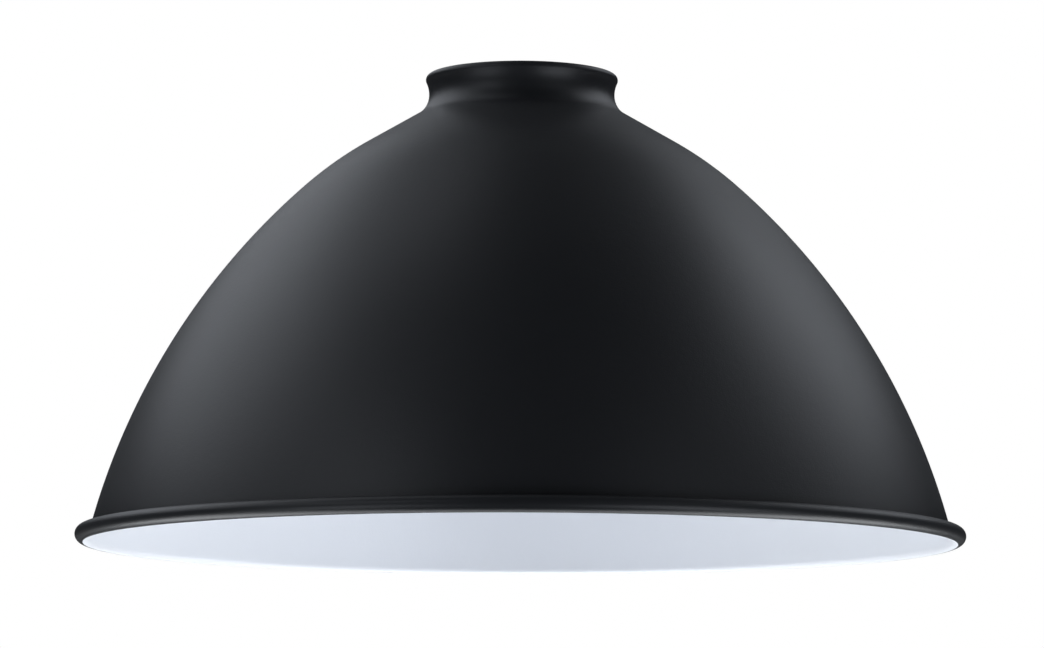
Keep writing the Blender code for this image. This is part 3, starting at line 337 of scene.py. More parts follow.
def sheet_wall(line, wall):
    """Corners round a bent sheet: its middle line, moved half the wall each way with mitred bends."""
    line = np.asarray(line, float)
    along = np.diff(line, axis=0)
    normal = np.stack([-along[:, 1], along[:, 0]], -1) / np.linalg.norm(along, axis=1)[:, None]
    before, after = np.concatenate([normal[:1], normal]), np.concatenate([normal, normal[-1:]])
    mitre = (before + after) / (1 + (before * after).sum(1))[:, None] * wall / 2
    return np.concatenate([line + mitre, (line - mitre)[::-1]])


def cut(piece, *tools):
    """Cuts tools out of a piece, keeps the result as its mesh and removes the tools."""
    for tool in tools:
        boolean = piece.modifiers.new(tool.name, "BOOLEAN")
        boolean.operation = "DIFFERENCE"
        boolean.object = tool
    bpy.context.view_layer.update()
    graph = bpy.context.evaluated_depsgraph_get()
    result = bpy.data.meshes.new_from_object(piece.evaluated_get(graph))
    piece.modifiers.clear()
    piece.data = result
    result.set_sharp_from_angle(angle=SHARP_ANGLE)
    for tool in tools:
        bpy.data.objects.remove(tool)


def drill(radius, start, end, sides=48):
    """A round tool between two points, for cutting a hole."""
    start, end = Vector(start), Vector(end)
    aim = (end - start).to_track_quat("Z", "Y").to_matrix().to_4x4()
    place = Matrix.Translation((start + end) / 2) @ aim
    return tool_from(lambda shape: bmesh.ops.create_cone(
        shape, cap_ends=True, segments=sides, radius1=radius, radius2=radius,
        depth=(end - start).length, matrix=place,
    ))


def slot_saw(middle, size):
    """A square tool round a middle, for cutting a screwdriver slot."""
    place = Matrix.Translation(middle) @ Matrix.Diagonal((*size, 1.0))
    return tool_from(lambda shape: bmesh.ops.create_cube(shape, size=1.0, matrix=place))


def tool_from(fill):
    """An object made by filling an empty bmesh."""
    shape = bmesh.new()
    fill(shape)
    mesh = bpy.data.meshes.new("tool")
    shape.to_mesh(mesh)
    shape.free()
    tool = bpy.data.objects.new("tool", mesh)
    bpy.context.scene.collection.objects.link(tool)
    return tool


def zinc_finish(name, centre=(0.0, 0.0), colour=(0.60, 0.62, 0.66)):
    plated = Finish(name, colour, 0.36, 1.0)
    cloud = plated.noise(55, 4, 0.6)
    spangle = plated.cells(420)
    passive = (cloud * 0.7 + spangle * 0.3).mix((*colour, 1), (0.66, 0.64, 0.55, 1))
    plated.set("Base Color", passive)
    plated.set("Roughness", 0.27 + cloud * 0.12 + spangle * 0.10)
    plated.bump(plated.lathe(2600, centre) + spangle * 0.4, 0.00003, 0.5)
    return plated


CARRIER_WALL = 0.0012
CARRIER_LEDGE = 0.0005
CARRIER_FLOOR_RADIUS = 0.0220
NIPPLE_RADIUS = 0.0050
VENT_COUNT = 5
VENT_RADIUS = 0.0035
EARTH_SHANK = 0.0020
earth_low, earth_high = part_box("earth_washer")
earth_place = ((earth_low[0] + earth_high[0]) / 2, 0.0)
floor_top = earth_low[2] - GAP
carrier_start = seat_start + (SEAT_THICKNESS + GAP + CARRIER_WALL / 2) * inward
carrier_line = [
    carrier_start + (SEAT_WIDTH + CARRIER_LEDGE) * down_slope,
    carrier_start - CARRIER_LEDGE * down_slope,
    (CARRIER_FLOOR_RADIUS, floor_top - CARRIER_WALL / 2),
    (NIPPLE_RADIUS + GAP, floor_top - CARRIER_WALL / 2),
]
carrier_corners = sheet_wall(carrier_line, CARRIER_WALL)
bend = 0.0009
edge_rounds = np.array([0.0003, bend + CARRIER_WALL, bend, 0.0002, 0.0002, bend + CARRIER_WALL, bend, 0.0003])
zinc = zinc_finish("zinc plated steel")
carrier = surface(
    "pressed_carrier", turned(rounded(carrier_corners, edge_rounds), 192), "lampholder", zinc, "zinc_steel",
    "shade_carrier",
)
vent_turns = 2 * np.pi * np.arange(VENT_COUNT + 1) / (VENT_COUNT + 1)
punches = [
    drill(
        VENT_RADIUS if turn else EARTH_SHANK + GAP,
        (earth_place[0] * np.cos(turn), earth_place[0] * np.sin(turn), floor_top + CARRIER_WALL),
        (earth_place[0] * np.cos(turn), earth_place[0] * np.sin(turn), floor_top - 3 * CARRIER_WALL),
    )
    for turn in vent_turns
]
cut(carrier, *punches)

# --------
# Cord gland. Three black pieces: a moulded nylon dome nut with grip ribs, a rubber seal that it
# squeezes on to the cord, and a nylon body with spanner flats that screws down on the nipple.


def within(points, limit, centre=(0.0, 0.0)):
    """Draws in every point further from its axis than limit(turn), which gives flats, ribs or teeth."""
    x, y = points[..., 0] - centre[0], points[..., 1] - centre[1]
    radius = np.hypot(x, y)
    share = np.minimum(1, limit(np.arctan2(y, x)) / np.maximum(radius, POLE_MERGE))
    return np.stack([centre[0] + x * share, centre[1] + y * share, points[..., 2]], -1)


def hexagonal(across_flats):
    """Distance to a hexagon's side: half its width over the cosine of the turn past the flat's middle."""
    step = np.pi / 3
    return lambda turn: across_flats / 2 / np.cos((turn + step / 2) % step - step / 2)


def dense(path, spacing):
    """A closed path with extra points along its sides, so that no two are further apart than the spacing."""
    ring = np.concatenate([path, path[:1]])
    along = np.concatenate([[0], np.cumsum(np.linalg.norm(np.diff(ring, axis=0), axis=1))])
    stations = np.concatenate([along, np.arange(0, along[-1], spacing)])
    stations = np.unique(np.round(stations, 7))[:-1]
    stations = stations[np.concatenate([[True], np.diff(stations) > spacing / 20])]
    return np.stack([np.interp(stations, along, ring[:, axis]) for axis in range(ring.shape[1])], -1)


def moulded(name, colour, roughness, specular=0.5):
    """Moulded plastic or rubber: a fine eroded texture, slightly polished where it was handled."""
    plastic = Finish(name, colour, roughness, fixed={"Specular IOR Level": specular})
    handled = plastic.noise(70, 3, 0.55)
    spark = plastic.noise(4200, 2, 0.5)
    darker, paler = 0.85 * np.array(colour), 1.2 * np.array(colour)
    plastic.set("Base Color", handled.mix((*darker, 1), (*paler, 1)))
    plastic.set("Roughness", roughness - 0.10 + handled * 0.14 + spark * 0.06)
    plastic.bump(spark + handled * 0.5, 0.00003, 0.6)
    return plastic


CORD_HOLE = 0.0036
NUT_CEILING = 0.0020
NUT_RIBS = 16
RIB_DEPTH = 0.00045
GLAND_HEX = 0.0165
GLAND_HEX_HEIGHT = 0.0055
GLAND_HEX_CHAMFER = 0.0007
GLAND_THREAD_WALL = 0.0007
GLAND_FOOT_STEP = 0.0015
SEAL_CONE = (0.0006, 0.0014)
SEAL_RIDGE = 0.00018
SEAL_RIDGE_PITCH = 0.0012
nut_low, nut_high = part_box("gland_nut")
seal_low, seal_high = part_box("gland_seal")
body_low, body_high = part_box("gland_body")
nut_radius = nut_high[0]
nut_bore = NIPPLE_RADIUS + GAP + GLAND_THREAD_WALL + GAP
nylon = moulded("black nylon", (0.021, 0.021, 0.022), 0.46)
nut_outline = rounded(
    [
        (CORD_HOLE, nut_high[2]), (nut_radius, nut_high[2]), (nut_radius, nut_low[2]), (nut_bore, nut_low[2]),
        (nut_bore, nut_high[2] - NUT_CEILING), (CORD_HOLE, nut_high[2] - NUT_CEILING),
    ],
    [0.0006, 0.0014, 0.0003, 0.0002, 0.0002, 0.0004],
)
nut_points = within(
    turned(dense(nut_outline, 0.0006), NUT_RIBS * 14),
    lambda turn: nut_radius - RIB_DEPTH * (0.5 - 0.5 * np.cos(NUT_RIBS * turn)) ** 0.7,
)
surface("gland_dome_nut", nut_points, "lampholder", nylon, "black_nylon", "gland_nut")

seal_outline = dense(rounded(
    [
        (CORD_HOLE, seal_high[2]), (seal_high[0] - SEAL_CONE[0], seal_high[2]),
        (seal_high[0], seal_high[2] - SEAL_CONE[1]), (seal_high[0], seal_low[2]), (CORD_HOLE, seal_low[2]),
    ], 0.00025,
), 0.00015)
bore_side = seal_outline[:, 0] < CORD_HOLE + 0.0002
ridges = SEAL_RIDGE * np.sin(2 * np.pi * seal_outline[:, 1] / SEAL_RIDGE_PITCH) ** 2
seal_outline[:, 0] += np.where(bore_side, ridges, 0)
rubber = moulded("black rubber", (0.028, 0.028, 0.028), 0.78, 0.3)
surface("rubber_seal", turned(seal_outline, 96), "lampholder", rubber, "black_rubber", "gland_seal")

thread = nut_bore - GAP
hex_top = nut_low[2] - GAP
hex_bottom = hex_top - GLAND_HEX_HEIGHT
hex_reach = GLAND_HEX / np.sqrt(3)
foot = thread + GLAND_FOOT_STEP
grip = seal_high[0] + GAP
bore = NIPPLE_RADIUS + GAP
nipple_low, nipple_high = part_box("threaded_nipple")
body_outline = rounded(
    [
        (grip, body_high[2]), (thread, body_high[2]), (thread, hex_top), (GLAND_HEX / 2, hex_top),
        (hex_reach, hex_top - GLAND_HEX_CHAMFER),
        (hex_reach, hex_bottom + GLAND_HEX_CHAMFER), (GLAND_HEX / 2, hex_bottom),
        (foot, hex_bottom), (foot, body_low[2]), (bore, body_low[2]), (bore, nipple_high[2] + GAP),
        (CORD_HOLE, nipple_high[2] + GAP), (CORD_HOLE, seal_low[2] - GAP), (grip, seal_low[2] - GAP),
    ], 0.0002,
)
body_points = within(turned(dense(body_outline, 0.0008), 288), hexagonal(GLAND_HEX))
surface("gland_hex_body", body_points, "lampholder", nylon, "black_nylon", "gland_body")

# --------
# Nipple. A steel tube with an M10 x 1 thread rolled along all of it, which holds the gland, the
# carrier and the lampholder in one stack.


def threaded(points, pitch, depth, low, high, beyond, end=0.0, centre=(0.0, 0.0)):
    """Moves every point with a radius over `beyond` in and out by a right hand thread between two heights.

    The shift is half the depth times the cosine of (turn - height / pitch). Over half a pitch at both ends it
    fades to half the depth times `end`.
    """
    x, y, height = points[..., 0] - centre[0], points[..., 1] - centre[1], points[..., 2]
    radius = np.hypot(x, y)
    fade = np.clip(np.minimum(height - low, high - height) / (pitch / 2), 0, 1)
    wave = np.cos(np.arctan2(y, x) - 2 * np.pi * height / pitch)
    shift = np.where(radius > beyond, depth / 2 * (fade * wave + (1 - fade) * end), 0)
    grown = 1 + shift / np.maximum(radius, POLE_MERGE)
    return np.stack([centre[0] + x * grown, centre[1] + y * grown, height], -1)


def bright_metal(name, colour, roughness, lines=2400, tarnish=(0.5, 0.45, 0.38), centre=(0.0, 0.0)):
    """Turned or drawn metal: fine lines round its axis, and a little cloudy tarnish."""
    metal = Finish(name, colour, roughness, 1.0)
    line = metal.lathe(lines, centre)
    haze = metal.noise(90, 4, 0.6)
    dull = ((haze - 0.45) * 2.5).clamped()
    metal.set("Base Color", (dull * 0.35).mix((*colour, 1), (*(np.array(colour) * tarnish), 1)))
    metal.set("Roughness", roughness - 0.06 + line * 0.10 + haze * 0.08)
    metal.bump(line, 0.00002, 0.5)
    return metal


NIPPLE_BORE = 0.0039
M10_PITCH = 0.0010
M10_DEPTH = 0.0005
crest = NIPPLE_RADIUS - M10_DEPTH / 2
nipple_outline = dense(rounded(
    [
        (NIPPLE_BORE, nipple_high[2]), (crest - 0.0002, nipple_high[2]), (crest, nipple_high[2] - 0.0004),
        (crest, nipple_low[2] + 0.0004), (crest - 0.0002, nipple_low[2]), (NIPPLE_BORE, nipple_low[2]),
    ], 0.0001,
), M10_PITCH / 8)
steel = bright_metal("bright steel", (0.58, 0.58, 0.60), 0.30)
nipple_points = threaded(
    turned(nipple_outline, 72), M10_PITCH, M10_DEPTH, nipple_low[2], nipple_high[2], NIPPLE_BORE + 0.0004,
    -1,
)
surface("m10_nipple", nipple_points, "lampholder", steel, "bright_steel", "threaded_nipple")

# --------
# Shakeproof washer and lock nut. The washer is spring steel with twelve twisted teeth; the thin
# nickel plated nut, chamfered on both faces, pulls it up against the carrier.

WASHER_SHEET = 0.0005
WASHER_TEETH = 12
TOOTH_LENGTH = 0.0013
TOOTH_TWIST = 0.00015
NUT_SINK = 0.0003
LOCK_NUT_WIDTH = 0.0140
washer_low, washer_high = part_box("lock_washer")
washer_radius = washer_high[0]
washer_middle = (washer_low[2] + washer_high[2]) / 2
washer_outline = dense(rounded(
    [
        (bore, washer_middle + WASHER_SHEET / 2), (washer_radius, washer_middle + WASHER_SHEET / 2),
        (washer_radius, washer_middle - WASHER_SHEET / 2), (bore, washer_middle - WASHER_SHEET / 2),
    ], 0.0001, steps=3,
), 0.0005)
washer_points = within(
    turned(washer_outline, WASHER_TEETH * 24),
    lambda turn: washer_radius - TOOTH_LENGTH * np.clip(0.5 - 3 * np.cos(WASHER_TEETH * turn), 0, 1),
)
washer_turn = np.arctan2(washer_points[..., 1], washer_points[..., 0])
past_root = np.hypot(washer_points[..., 0], washer_points[..., 1]) - (washer_radius - TOOTH_LENGTH)
twist = TOOTH_TWIST * np.clip(past_root / TOOTH_LENGTH, 0, 1)
washer_points[..., 2] += twist * np.sin(WASHER_TEETH * washer_turn)
surface("shakeproof_washer", washer_points, "lampholder", steel, "bright_steel", "lock_washer")


def hex_nut(name, node, across_flats, hole, finish, slot, centre=(0.0, 0.0)):
    """A hexagon nut, its corners turned off at 30 degrees on both faces, with a countersunk hole."""
    low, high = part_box(node)
    reach, sink = across_flats / np.sqrt(3), NUT_SINK
    drop = (reach - across_flats / 2) * np.tan(np.radians(30))
    outline = rounded(
        [
            (hole, high[2] - sink), (hole + sink, high[2]), (across_flats / 2, high[2]),
            (reach, high[2] - drop), (reach, low[2] + drop),
            (across_flats / 2, low[2]), (hole + sink, low[2]), (hole, low[2] + sink),
        ], 0.00012, steps=3,
    )
    points = within(turned(dense(outline, 0.0007), 216), hexagonal(across_flats))
    points[..., :2] += centre
    surface(name, points, "lampholder", finish, slot, node)


nickel_plate = bright_metal("nickel plated brass", (0.66, 0.62, 0.55), 0.26)
hex_nut("thin_lock_nut", "lock_nut", LOCK_NUT_WIDTH, bore, nickel_plate, "nickel_brass")

# --------
# Earth terminal. A slotted M4 screw, passivated green so that it can't be mistaken, with a plain
# washer above the carrier's floor and a nut below it.

M4_PITCH = 0.0007
M4_DEPTH = 0.0004
SLOT_WIDTH = 0.0008
SLOT_DEPTH = 0.0009
M4_NUT_WIDTH = 0.0070
screw_low, screw_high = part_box("earth_screw")
head_radius = (screw_high[0] - screw_low[0]) / 2
head_foot = earth_high[2] + GAP
shank = EARTH_SHANK - M4_DEPTH / 2
shank_line = np.arange(head_foot, screw_low[2] + 0.0004, -M4_PITCH / 8)
screw_profile = np.concatenate([
    rounded(
        [(0, screw_high[2]), (head_radius * 0.72, screw_high[2]), (head_radius, screw_high[2] - 0.0008),
         (head_radius, head_foot), (shank, head_foot)],
        [0.0001, 0.0012, 0.0006, 0.00015, 0.0001], False,
    ),
    np.stack([np.full(len(shank_line) - 1, shank), shank_line[1:]], -1),
    [(shank - 0.0004, screw_low[2]), (0, screw_low[2])],
])
green = zinc_finish("green passivated steel", earth_place, (0.06, 0.25, 0.09))
plain_screw = turned(screw_profile, 72)
screw_points = np.where(plain_screw[..., 2:] > head_foot - M4_PITCH / 2, plain_screw, threaded(
    plain_screw, M4_PITCH, M4_DEPTH, screw_low[2], head_foot - M4_PITCH, shank - 0.0002, -1
))
screw_points[..., :2] += earth_place
screw = surface("green_earth_screw", screw_points, "lampholder", green, "green_steel", "earth_screw")
cut(screw, slot_saw((*earth_place, screw_high[2]), (3 * head_radius, SLOT_WIDTH, 2 * SLOT_DEPTH)))

plain_steel = bright_metal("plated fastener steel", (0.62, 0.62, 0.62), 0.30, centre=earth_place)
washer_outer = (earth_high[0] - earth_low[0]) / 2
flat_washer = turned(rounded(
    [
        (EARTH_SHANK + GAP, earth_high[2]), (washer_outer, earth_high[2]), (washer_outer, earth_low[2]),
        (EARTH_SHANK + GAP, earth_low[2]),
    ], [0.00025, 0.00025, 0.0001, 0.0001],
), 96)
flat_washer[..., :2] += earth_place
surface("earth_flat_washer", flat_washer, "lampholder", plain_steel, "bright_steel", "earth_washer")
earth_hole = EARTH_SHANK + GAP
hex_nut("earth_hex_nut", "earth_nut", M4_NUT_WIDTH, earth_hole, plain_steel, "bright_steel", earth_place)

# --------
# Lampholder cap. The upper half of the holder, pressed from black phenolic, glossy on its dome, with
# a moulded line where the two halves of the mould met. A black set screw in its neck locks the thread.


def phenolic_finish(name):
    """Phenolic: near black brown, glossy, with tiny pale wood flour specks and hairline scratches."""
    resin = Finish(name, (0.016, 0.014, 0.013), 0.24, fixed={"Specular IOR Level": 0.55})
    flour = ((0.16 - resin.cells(2600)) * 9).clamped()
    rubbed = resin.noise(45, 4, 0.6)
    resin.set("Base Color", (flour * 0.5).mix((0.015, 0.013, 0.012, 1), (0.050, 0.042, 0.036, 1)))
    resin.set("Roughness", 0.17 + rubbed * 0.16)
    resin.bump(resin.noise(500, 3, 0.6) + resin.noise(4000, 2) * 0.15, 0.00003, 0.5)
    return resin


HOLDER_WALL = 0.0022
NECK_HEIGHT = 0.0060
ROOF = 0.0030
CAP_NECK = 0.0074
SHOULDER_HEIGHT = 0.0065
MOULD_LINE = 0.00012
ROOF_SLOPE = 0.0045
OVERCUT = 0.0010
SET_SLOT_WIDTH = 0.0006
SET_SLOT_DEPTH = 0.00055
cap_low, cap_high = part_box("holder_cap")
holder_radius = cap_high[0]
neck_foot, roof_under = cap_high[2] - NECK_HEIGHT, cap_high[2] - NECK_HEIGHT - ROOF
side_top = neck_foot - SHOULDER_HEIGHT
dome_turn = np.linspace(0, np.pi / 2, 30)
dome = np.stack([
    CAP_NECK + (holder_radius - CAP_NECK) * np.sin(dome_turn),
    neck_foot - SHOULDER_HEIGHT * (1 - np.cos(dome_turn)),
], -1)
cap_outline = np.concatenate([
    rounded([(bore, cap_high[2] - OVERCUT), (bore, cap_high[2]),
             (CAP_NECK, cap_high[2]), (CAP_NECK, neck_foot)],
            [0.0001, 0.0003, 0.0007, 0.0001], False)[:-1],
    dome,
    rounded([(holder_radius, side_top - OVERCUT), (holder_radius, cap_low[2]),
             (holder_radius - HOLDER_WALL, cap_low[2]), (holder_radius - HOLDER_WALL, side_top),
             (holder_radius - HOLDER_WALL - ROOF_SLOPE, roof_under), (bore, roof_under)],
            [0.0001, 0.0005, 0.0003, 0.0012, 0.0012, 0.0001], False),
])
phenolic = phenolic_finish("black phenolic")
cap_points = within(
    turned(cap_outline, 256),
    lambda turn: holder_radius - MOULD_LINE * (np.abs(np.sin(turn)) > 0.02),
)
cap = surface("phenolic_cap", cap_points, "lampholder", phenolic, "black_phenolic", "holder_cap")
set_low, set_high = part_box("cap_lock_screw")
set_height, set_radius = (set_low[2] + set_high[2]) / 2, set_high[0]
cut(cap, drill(set_radius + GAP, (0, OVERCUT - bore, set_height), (0, -OVERCUT - CAP_NECK, set_height)))
set_profile = rounded(
    [(0, 0), (set_radius * 0.6, 0), (set_radius, 0.0006), (set_radius, set_high[1] - set_low[1] - 0.0003),
     (set_radius - 0.0003, set_high[1] - set_low[1]), (0, set_high[1] - set_low[1])],
    0.0001, False,
)
set_points = turned(set_profile, 64)
set_points = np.stack([
    set_points[..., 0], set_high[1] - set_points[..., 2], set_height + set_points[..., 1]
], -1)
black_oxide = bright_metal("black oxide steel", (0.060, 0.060, 0.066), 0.38)
set_screw = surface(
    "neck_set_screw", set_points, "lampholder", black_oxide, "black_phenolic", "cap_lock_screw"
)
cut(set_screw, slot_saw((0, set_low[1], set_height), (4 * set_radius, 2 * SET_SLOT_DEPTH, SET_SLOT_WIDTH)))

# --------
# Contact block. A glazed porcelain disc that carries the live contacts, pierced for the live stem
# and the neutral strap. Brass blocks with wire holes and steel clamping screws stand on it.


def refinish(finish, slot, *nodes):
    """Gives carried CAD pieces a new finish."""
    for node in nodes:
        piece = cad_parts[node]
        for socket in piece.material_slots:
            socket.material = finish.material


block_low, block_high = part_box("contact_block")
strap_low, strap_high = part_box("shell_strap")
tongue_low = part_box("centre_contact")[0]
STEM_HOLE = 0.0015
TONGUE_PAD = 0.0014
block_radius = block_high[0]
porcelain = Finish(
    "glazed porcelain", (0.80, 0.78, 0.74), 0.10, fixed={"Coat Weight": 0.6, "Coat Roughness": 0.06}
)
glaze = porcelain.noise(120, 4, 0.6)
pinhole = ((0.07 - porcelain.cells(900)) * 30).clamped()
porcelain.set("Base Color", (glaze * 0.6 + pinhole * 0.4).mix((0.83, 0.81, 0.77, 1), (0.66, 0.62, 0.56, 1)))
porcelain.set("Roughness", 0.08 + glaze * 0.10 + pinhole * 0.4)
porcelain.bump(glaze - pinhole * 0.5, 0.00005, 0.5)
disc_profile = rounded(
    [(0, block_high[2]), (block_radius, block_high[2]), (block_radius, block_low[2]), (0, block_low[2])],
    [0.0001, 0.0010, 0.0010, 0.0001], False, 8,
)
disc_points = turned(disc_profile, 160)
disc = surface("porcelain_disc", disc_points, "lampholder", porcelain, "porcelain", "contact_block")
live_stem = tongue_low[0] + TONGUE_PAD
strap_size = Vector(strap_high) - Vector(strap_low) + Vector((2 * GAP, 2 * GAP, 4 * OVERCUT))
block_middle = (block_low[2] + block_high[2]) / 2
cut(
    disc, drill(STEM_HOLE, (live_stem, 0, block_high[2] + OVERCUT), (live_stem, 0, block_low[2] - OVERCUT)),
    slot_saw(((strap_low[0] + strap_high[0]) / 2, 0, block_middle), strap_size),
)
terminal_brass = bright_metal("terminal brass", (0.70, 0.50, 0.20), 0.28, tarnish=(0.62, 0.48, 0.34))
fastener = bright_metal("screw steel", (0.60, 0.60, 0.60), 0.30)
refinish(terminal_brass, "shell_brass", "live_terminal", "neutral_terminal", "shell_strap")
refinish(fastener, "bright_steel", "live_terminal_screw", "neutral_terminal_screw")
bronze = bright_metal("phosphor bronze", (0.66, 0.40, 0.20), 0.30, tarnish=(0.7, 0.5, 0.4))
refinish(bronze, "bronze", "centre_contact")

# --------
# Screw shell. Half a millimetre of brass, drawn into a cup and rolled with the round lamp thread,
# under a flat flange with an open middle.

LAMP_PITCH = 0.0254 / 7
LAMP_DEPTH = 0.0009
SHELL_WALL = 0.00045
FLANGE_HOLE = 0.0084
FLANGE = 0.0006
shell_low, shell_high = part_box("screw_shell")
shell_outer = shell_high[0] - LAMP_DEPTH / 2
shell_inner = shell_outer - SHELL_WALL
flange_under = shell_high[2] - FLANGE
shell_outline = dense(rounded(
    [
        (shell_inner, shell_low[2]), (shell_inner, flange_under), (FLANGE_HOLE, flange_under),
        (FLANGE_HOLE, shell_high[2]), (shell_outer, shell_high[2]), (shell_outer, shell_low[2]),
    ], [0.0002, 0.0002, 0.0002, 0.0002, 0.0006, 0.0002],
), LAMP_PITCH / 16)
shell_points = threaded(
    turned(shell_outline, 144), LAMP_PITCH, LAMP_DEPTH, shell_low[2], flange_under, shell_inner - 0.0004, 1
)
shell_brass = bright_metal("shell brass", (0.74, 0.54, 0.22), 0.24, tarnish=(0.66, 0.50, 0.34))
surface("rolled_screw_shell", shell_points, "lampholder", shell_brass, "shell_brass", "screw_shell")

# --------
# Lampholder skirt. The lower half of the holder, of the same phenolic: a spigot that goes up into
# the cap, a flange, and a sleeve round the brass with moulded flutes for the fingers.

FLUTES = 30
FLUTE_DEPTH = 0.00035
FLUTE_FADE = 0.0015
SLEEVE_WALL = 0.0035
SKIRT_FLANGE = 0.0055
SPIGOT_WALL = 0.0014
skirt_low, skirt_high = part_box("holder_skirt")
sleeve_inner = shell_high[0] + GAP
sleeve_outer = sleeve_inner + SLEEVE_WALL
flange_top = cap_low[2] - GAP
flange_foot = flange_top - SKIRT_FLANGE
ledge = block_low[2] - GAP
spigot_outer = holder_radius - HOLDER_WALL - GAP
spigot_inner = spigot_outer - SPIGOT_WALL
skirt_outline = dense(rounded(
    [
        (spigot_inner, skirt_high[2]), (spigot_outer, skirt_high[2]), (spigot_outer, flange_top),
        (holder_radius, flange_top), (holder_radius, flange_foot), (sleeve_outer, flange_foot - 0.0008),
        (sleeve_outer, skirt_low[2]), (sleeve_inner, skirt_low[2]),
        (sleeve_inner, ledge), (spigot_inner, ledge),
    ], [0.0003, 0.0003, 0.0002, 0.0005, 0.0010, 0.0006, 0.0011, 0.0006, 0.0002, 0.0002],
), 0.0008)
skirt_points = turned(skirt_outline, FLUTES * 14)
flute_band = np.clip((flange_foot - SLEEVE_WALL - skirt_points[..., 2]) / FLUTE_FADE, 0, 1)
flute_band *= np.clip((skirt_points[..., 2] - skirt_low[2] - 2 * FLUTE_FADE) / FLUTE_FADE, 0, 1)
skirt_turn = np.arctan2(skirt_points[..., 1], skirt_points[..., 0])
skirt_radius = np.hypot(skirt_points[..., 0], skirt_points[..., 1])
outside = skirt_radius > sleeve_outer - GAP
hollow = FLUTE_DEPTH * flute_band * outside * (0.5 - 0.5 * np.cos(FLUTES * skirt_turn))
skirt_points[..., :2] *= (1 - hollow / skirt_radius)[..., None]
surface("fluted_skirt", skirt_points, "lampholder", phenolic, "black_phenolic", "holder_skirt")

# --------
# Bulb foot. A button of solder over the end of the live lead, on a ring of pressed black glass that
# keeps it apart from the cap.

BUTTON_EDGE = 0.0003
INSULATOR_TOP = 0.0053
button_low, button_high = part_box("bulb_contact")
glass_low, glass_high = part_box("bulb_insulator")
button_radius = button_high[0]
button_turn = np.linspace(0, np.pi / 2, 14)
button_foot = button_low[2] + BUTTON_EDGE
button_profile = np.concatenate([
    np.stack([
        button_radius * np.sin(button_turn),
        button_foot + (button_high[2] - button_foot) * np.cos(button_turn),
    ], -1),
    [(button_radius, button_low[2]), (0, button_low[2])],
])
button_points = turned(button_profile, 72)
solder = Finish("solder", (0.56, 0.56, 0.55), 0.36, 1.0)
lumps = solder.noise(380, 3, 0.55)
solder.set("Roughness", 0.24 + lumps * 0.3)
solder.set("Base Color", lumps.mix((0.60, 0.60, 0.60, 1), (0.42, 0.41, 0.40, 1)))
solder.bump(lumps, 0.00012, 0.7)
surface("solder_button", button_points, "bulb_foot", solder, "solder", "bulb_contact")

black_glass = Finish("pressed black glass", (0.012, 0.012, 0.014), 0.08)
ripple = black_glass.noise(260, 2, 0.5)
black_glass.set("Roughness", 0.05 + ripple * 0.08)
black_glass.bump(ripple, 0.00006, 0.5)
insulator_profile = rounded(
    [(0, glass_high[2]), (INSULATOR_TOP, glass_high[2]), (glass_high[0], glass_low[2] + 0.0004),
     (glass_high[0], glass_low[2]), (0, glass_low[2])],
    [0.0001, 0.0006, 0.0003, 0.0001, 0.0001], False,
)
insulator_points = turned(insulator_profile, 96)
surface(
    "glass_insulator", insulator_points, "bulb_foot", black_glass, "black_glass", "bulb_insulator"
)

# --------
# Bulb cap. Thin aluminium, drawn and rolled with the lamp thread, rounded over at its foot and
# cemented to the glass at its plain collar.

CAP_SHEET = 0.0004
CROWN_HEIGHT = 0.0018
CROWN_LEDGE = 0.0020
COLLAR_HEIGHT = 0.0035
THREAD_MIDDLE = 0.01265
COLLAR_FLARE = 0.0002
alu_low, alu_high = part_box("bulb_cap")
cap_thread_top = alu_high[2] - CROWN_HEIGHT
collar_top = alu_low[2] + COLLAR_HEIGHT
cap_root = THREAD_MIDDLE - LAMP_DEPTH / 2
# the thread's ends are at its root, so the plain collar's radius is given with half the thread's depth added
collar_radius = alu_high[0] - COLLAR_FLARE + LAMP_DEPTH / 2
crown_edge = glass_high[0]
alu_outline = dense(rounded(
    [
        (crown_edge - CROWN_LEDGE, alu_high[2]), (crown_edge, alu_high[2]),
        (cap_root - CAP_SHEET, alu_high[2] - CROWN_HEIGHT / 2),
        (THREAD_MIDDLE, cap_thread_top), (THREAD_MIDDLE, collar_top), (collar_radius, collar_top),
        (collar_radius + COLLAR_FLARE, alu_low[2]),
        (THREAD_MIDDLE - CAP_SHEET, alu_low[2]), (THREAD_MIDDLE - CAP_SHEET, cap_thread_top),
        (crown_edge - CROWN_LEDGE, alu_high[2] - CAP_SHEET),
    ], 0.0003, steps=4,
), LAMP_PITCH / 16)
alu_points = threaded(
    turned(alu_outline, 144), LAMP_PITCH, LAMP_DEPTH, collar_top, cap_thread_top, THREAD_MIDDLE - 0.0005, -1
)
aluminium = bright_metal("rolled aluminium", (0.74, 0.74, 0.75), 0.26, 3000, (0.8, 0.8, 0.8))
surface("aluminium_cap", alu_points, "bulb", aluminium, "rolled_aluminium", "bulb_cap")

# --------
# Bulb glass. A clear envelope blown in a mould: a straight neck inside the cap that flows into a
# globe, 0.8 mm thick, filled with gas and sealed to the flare of the stem.

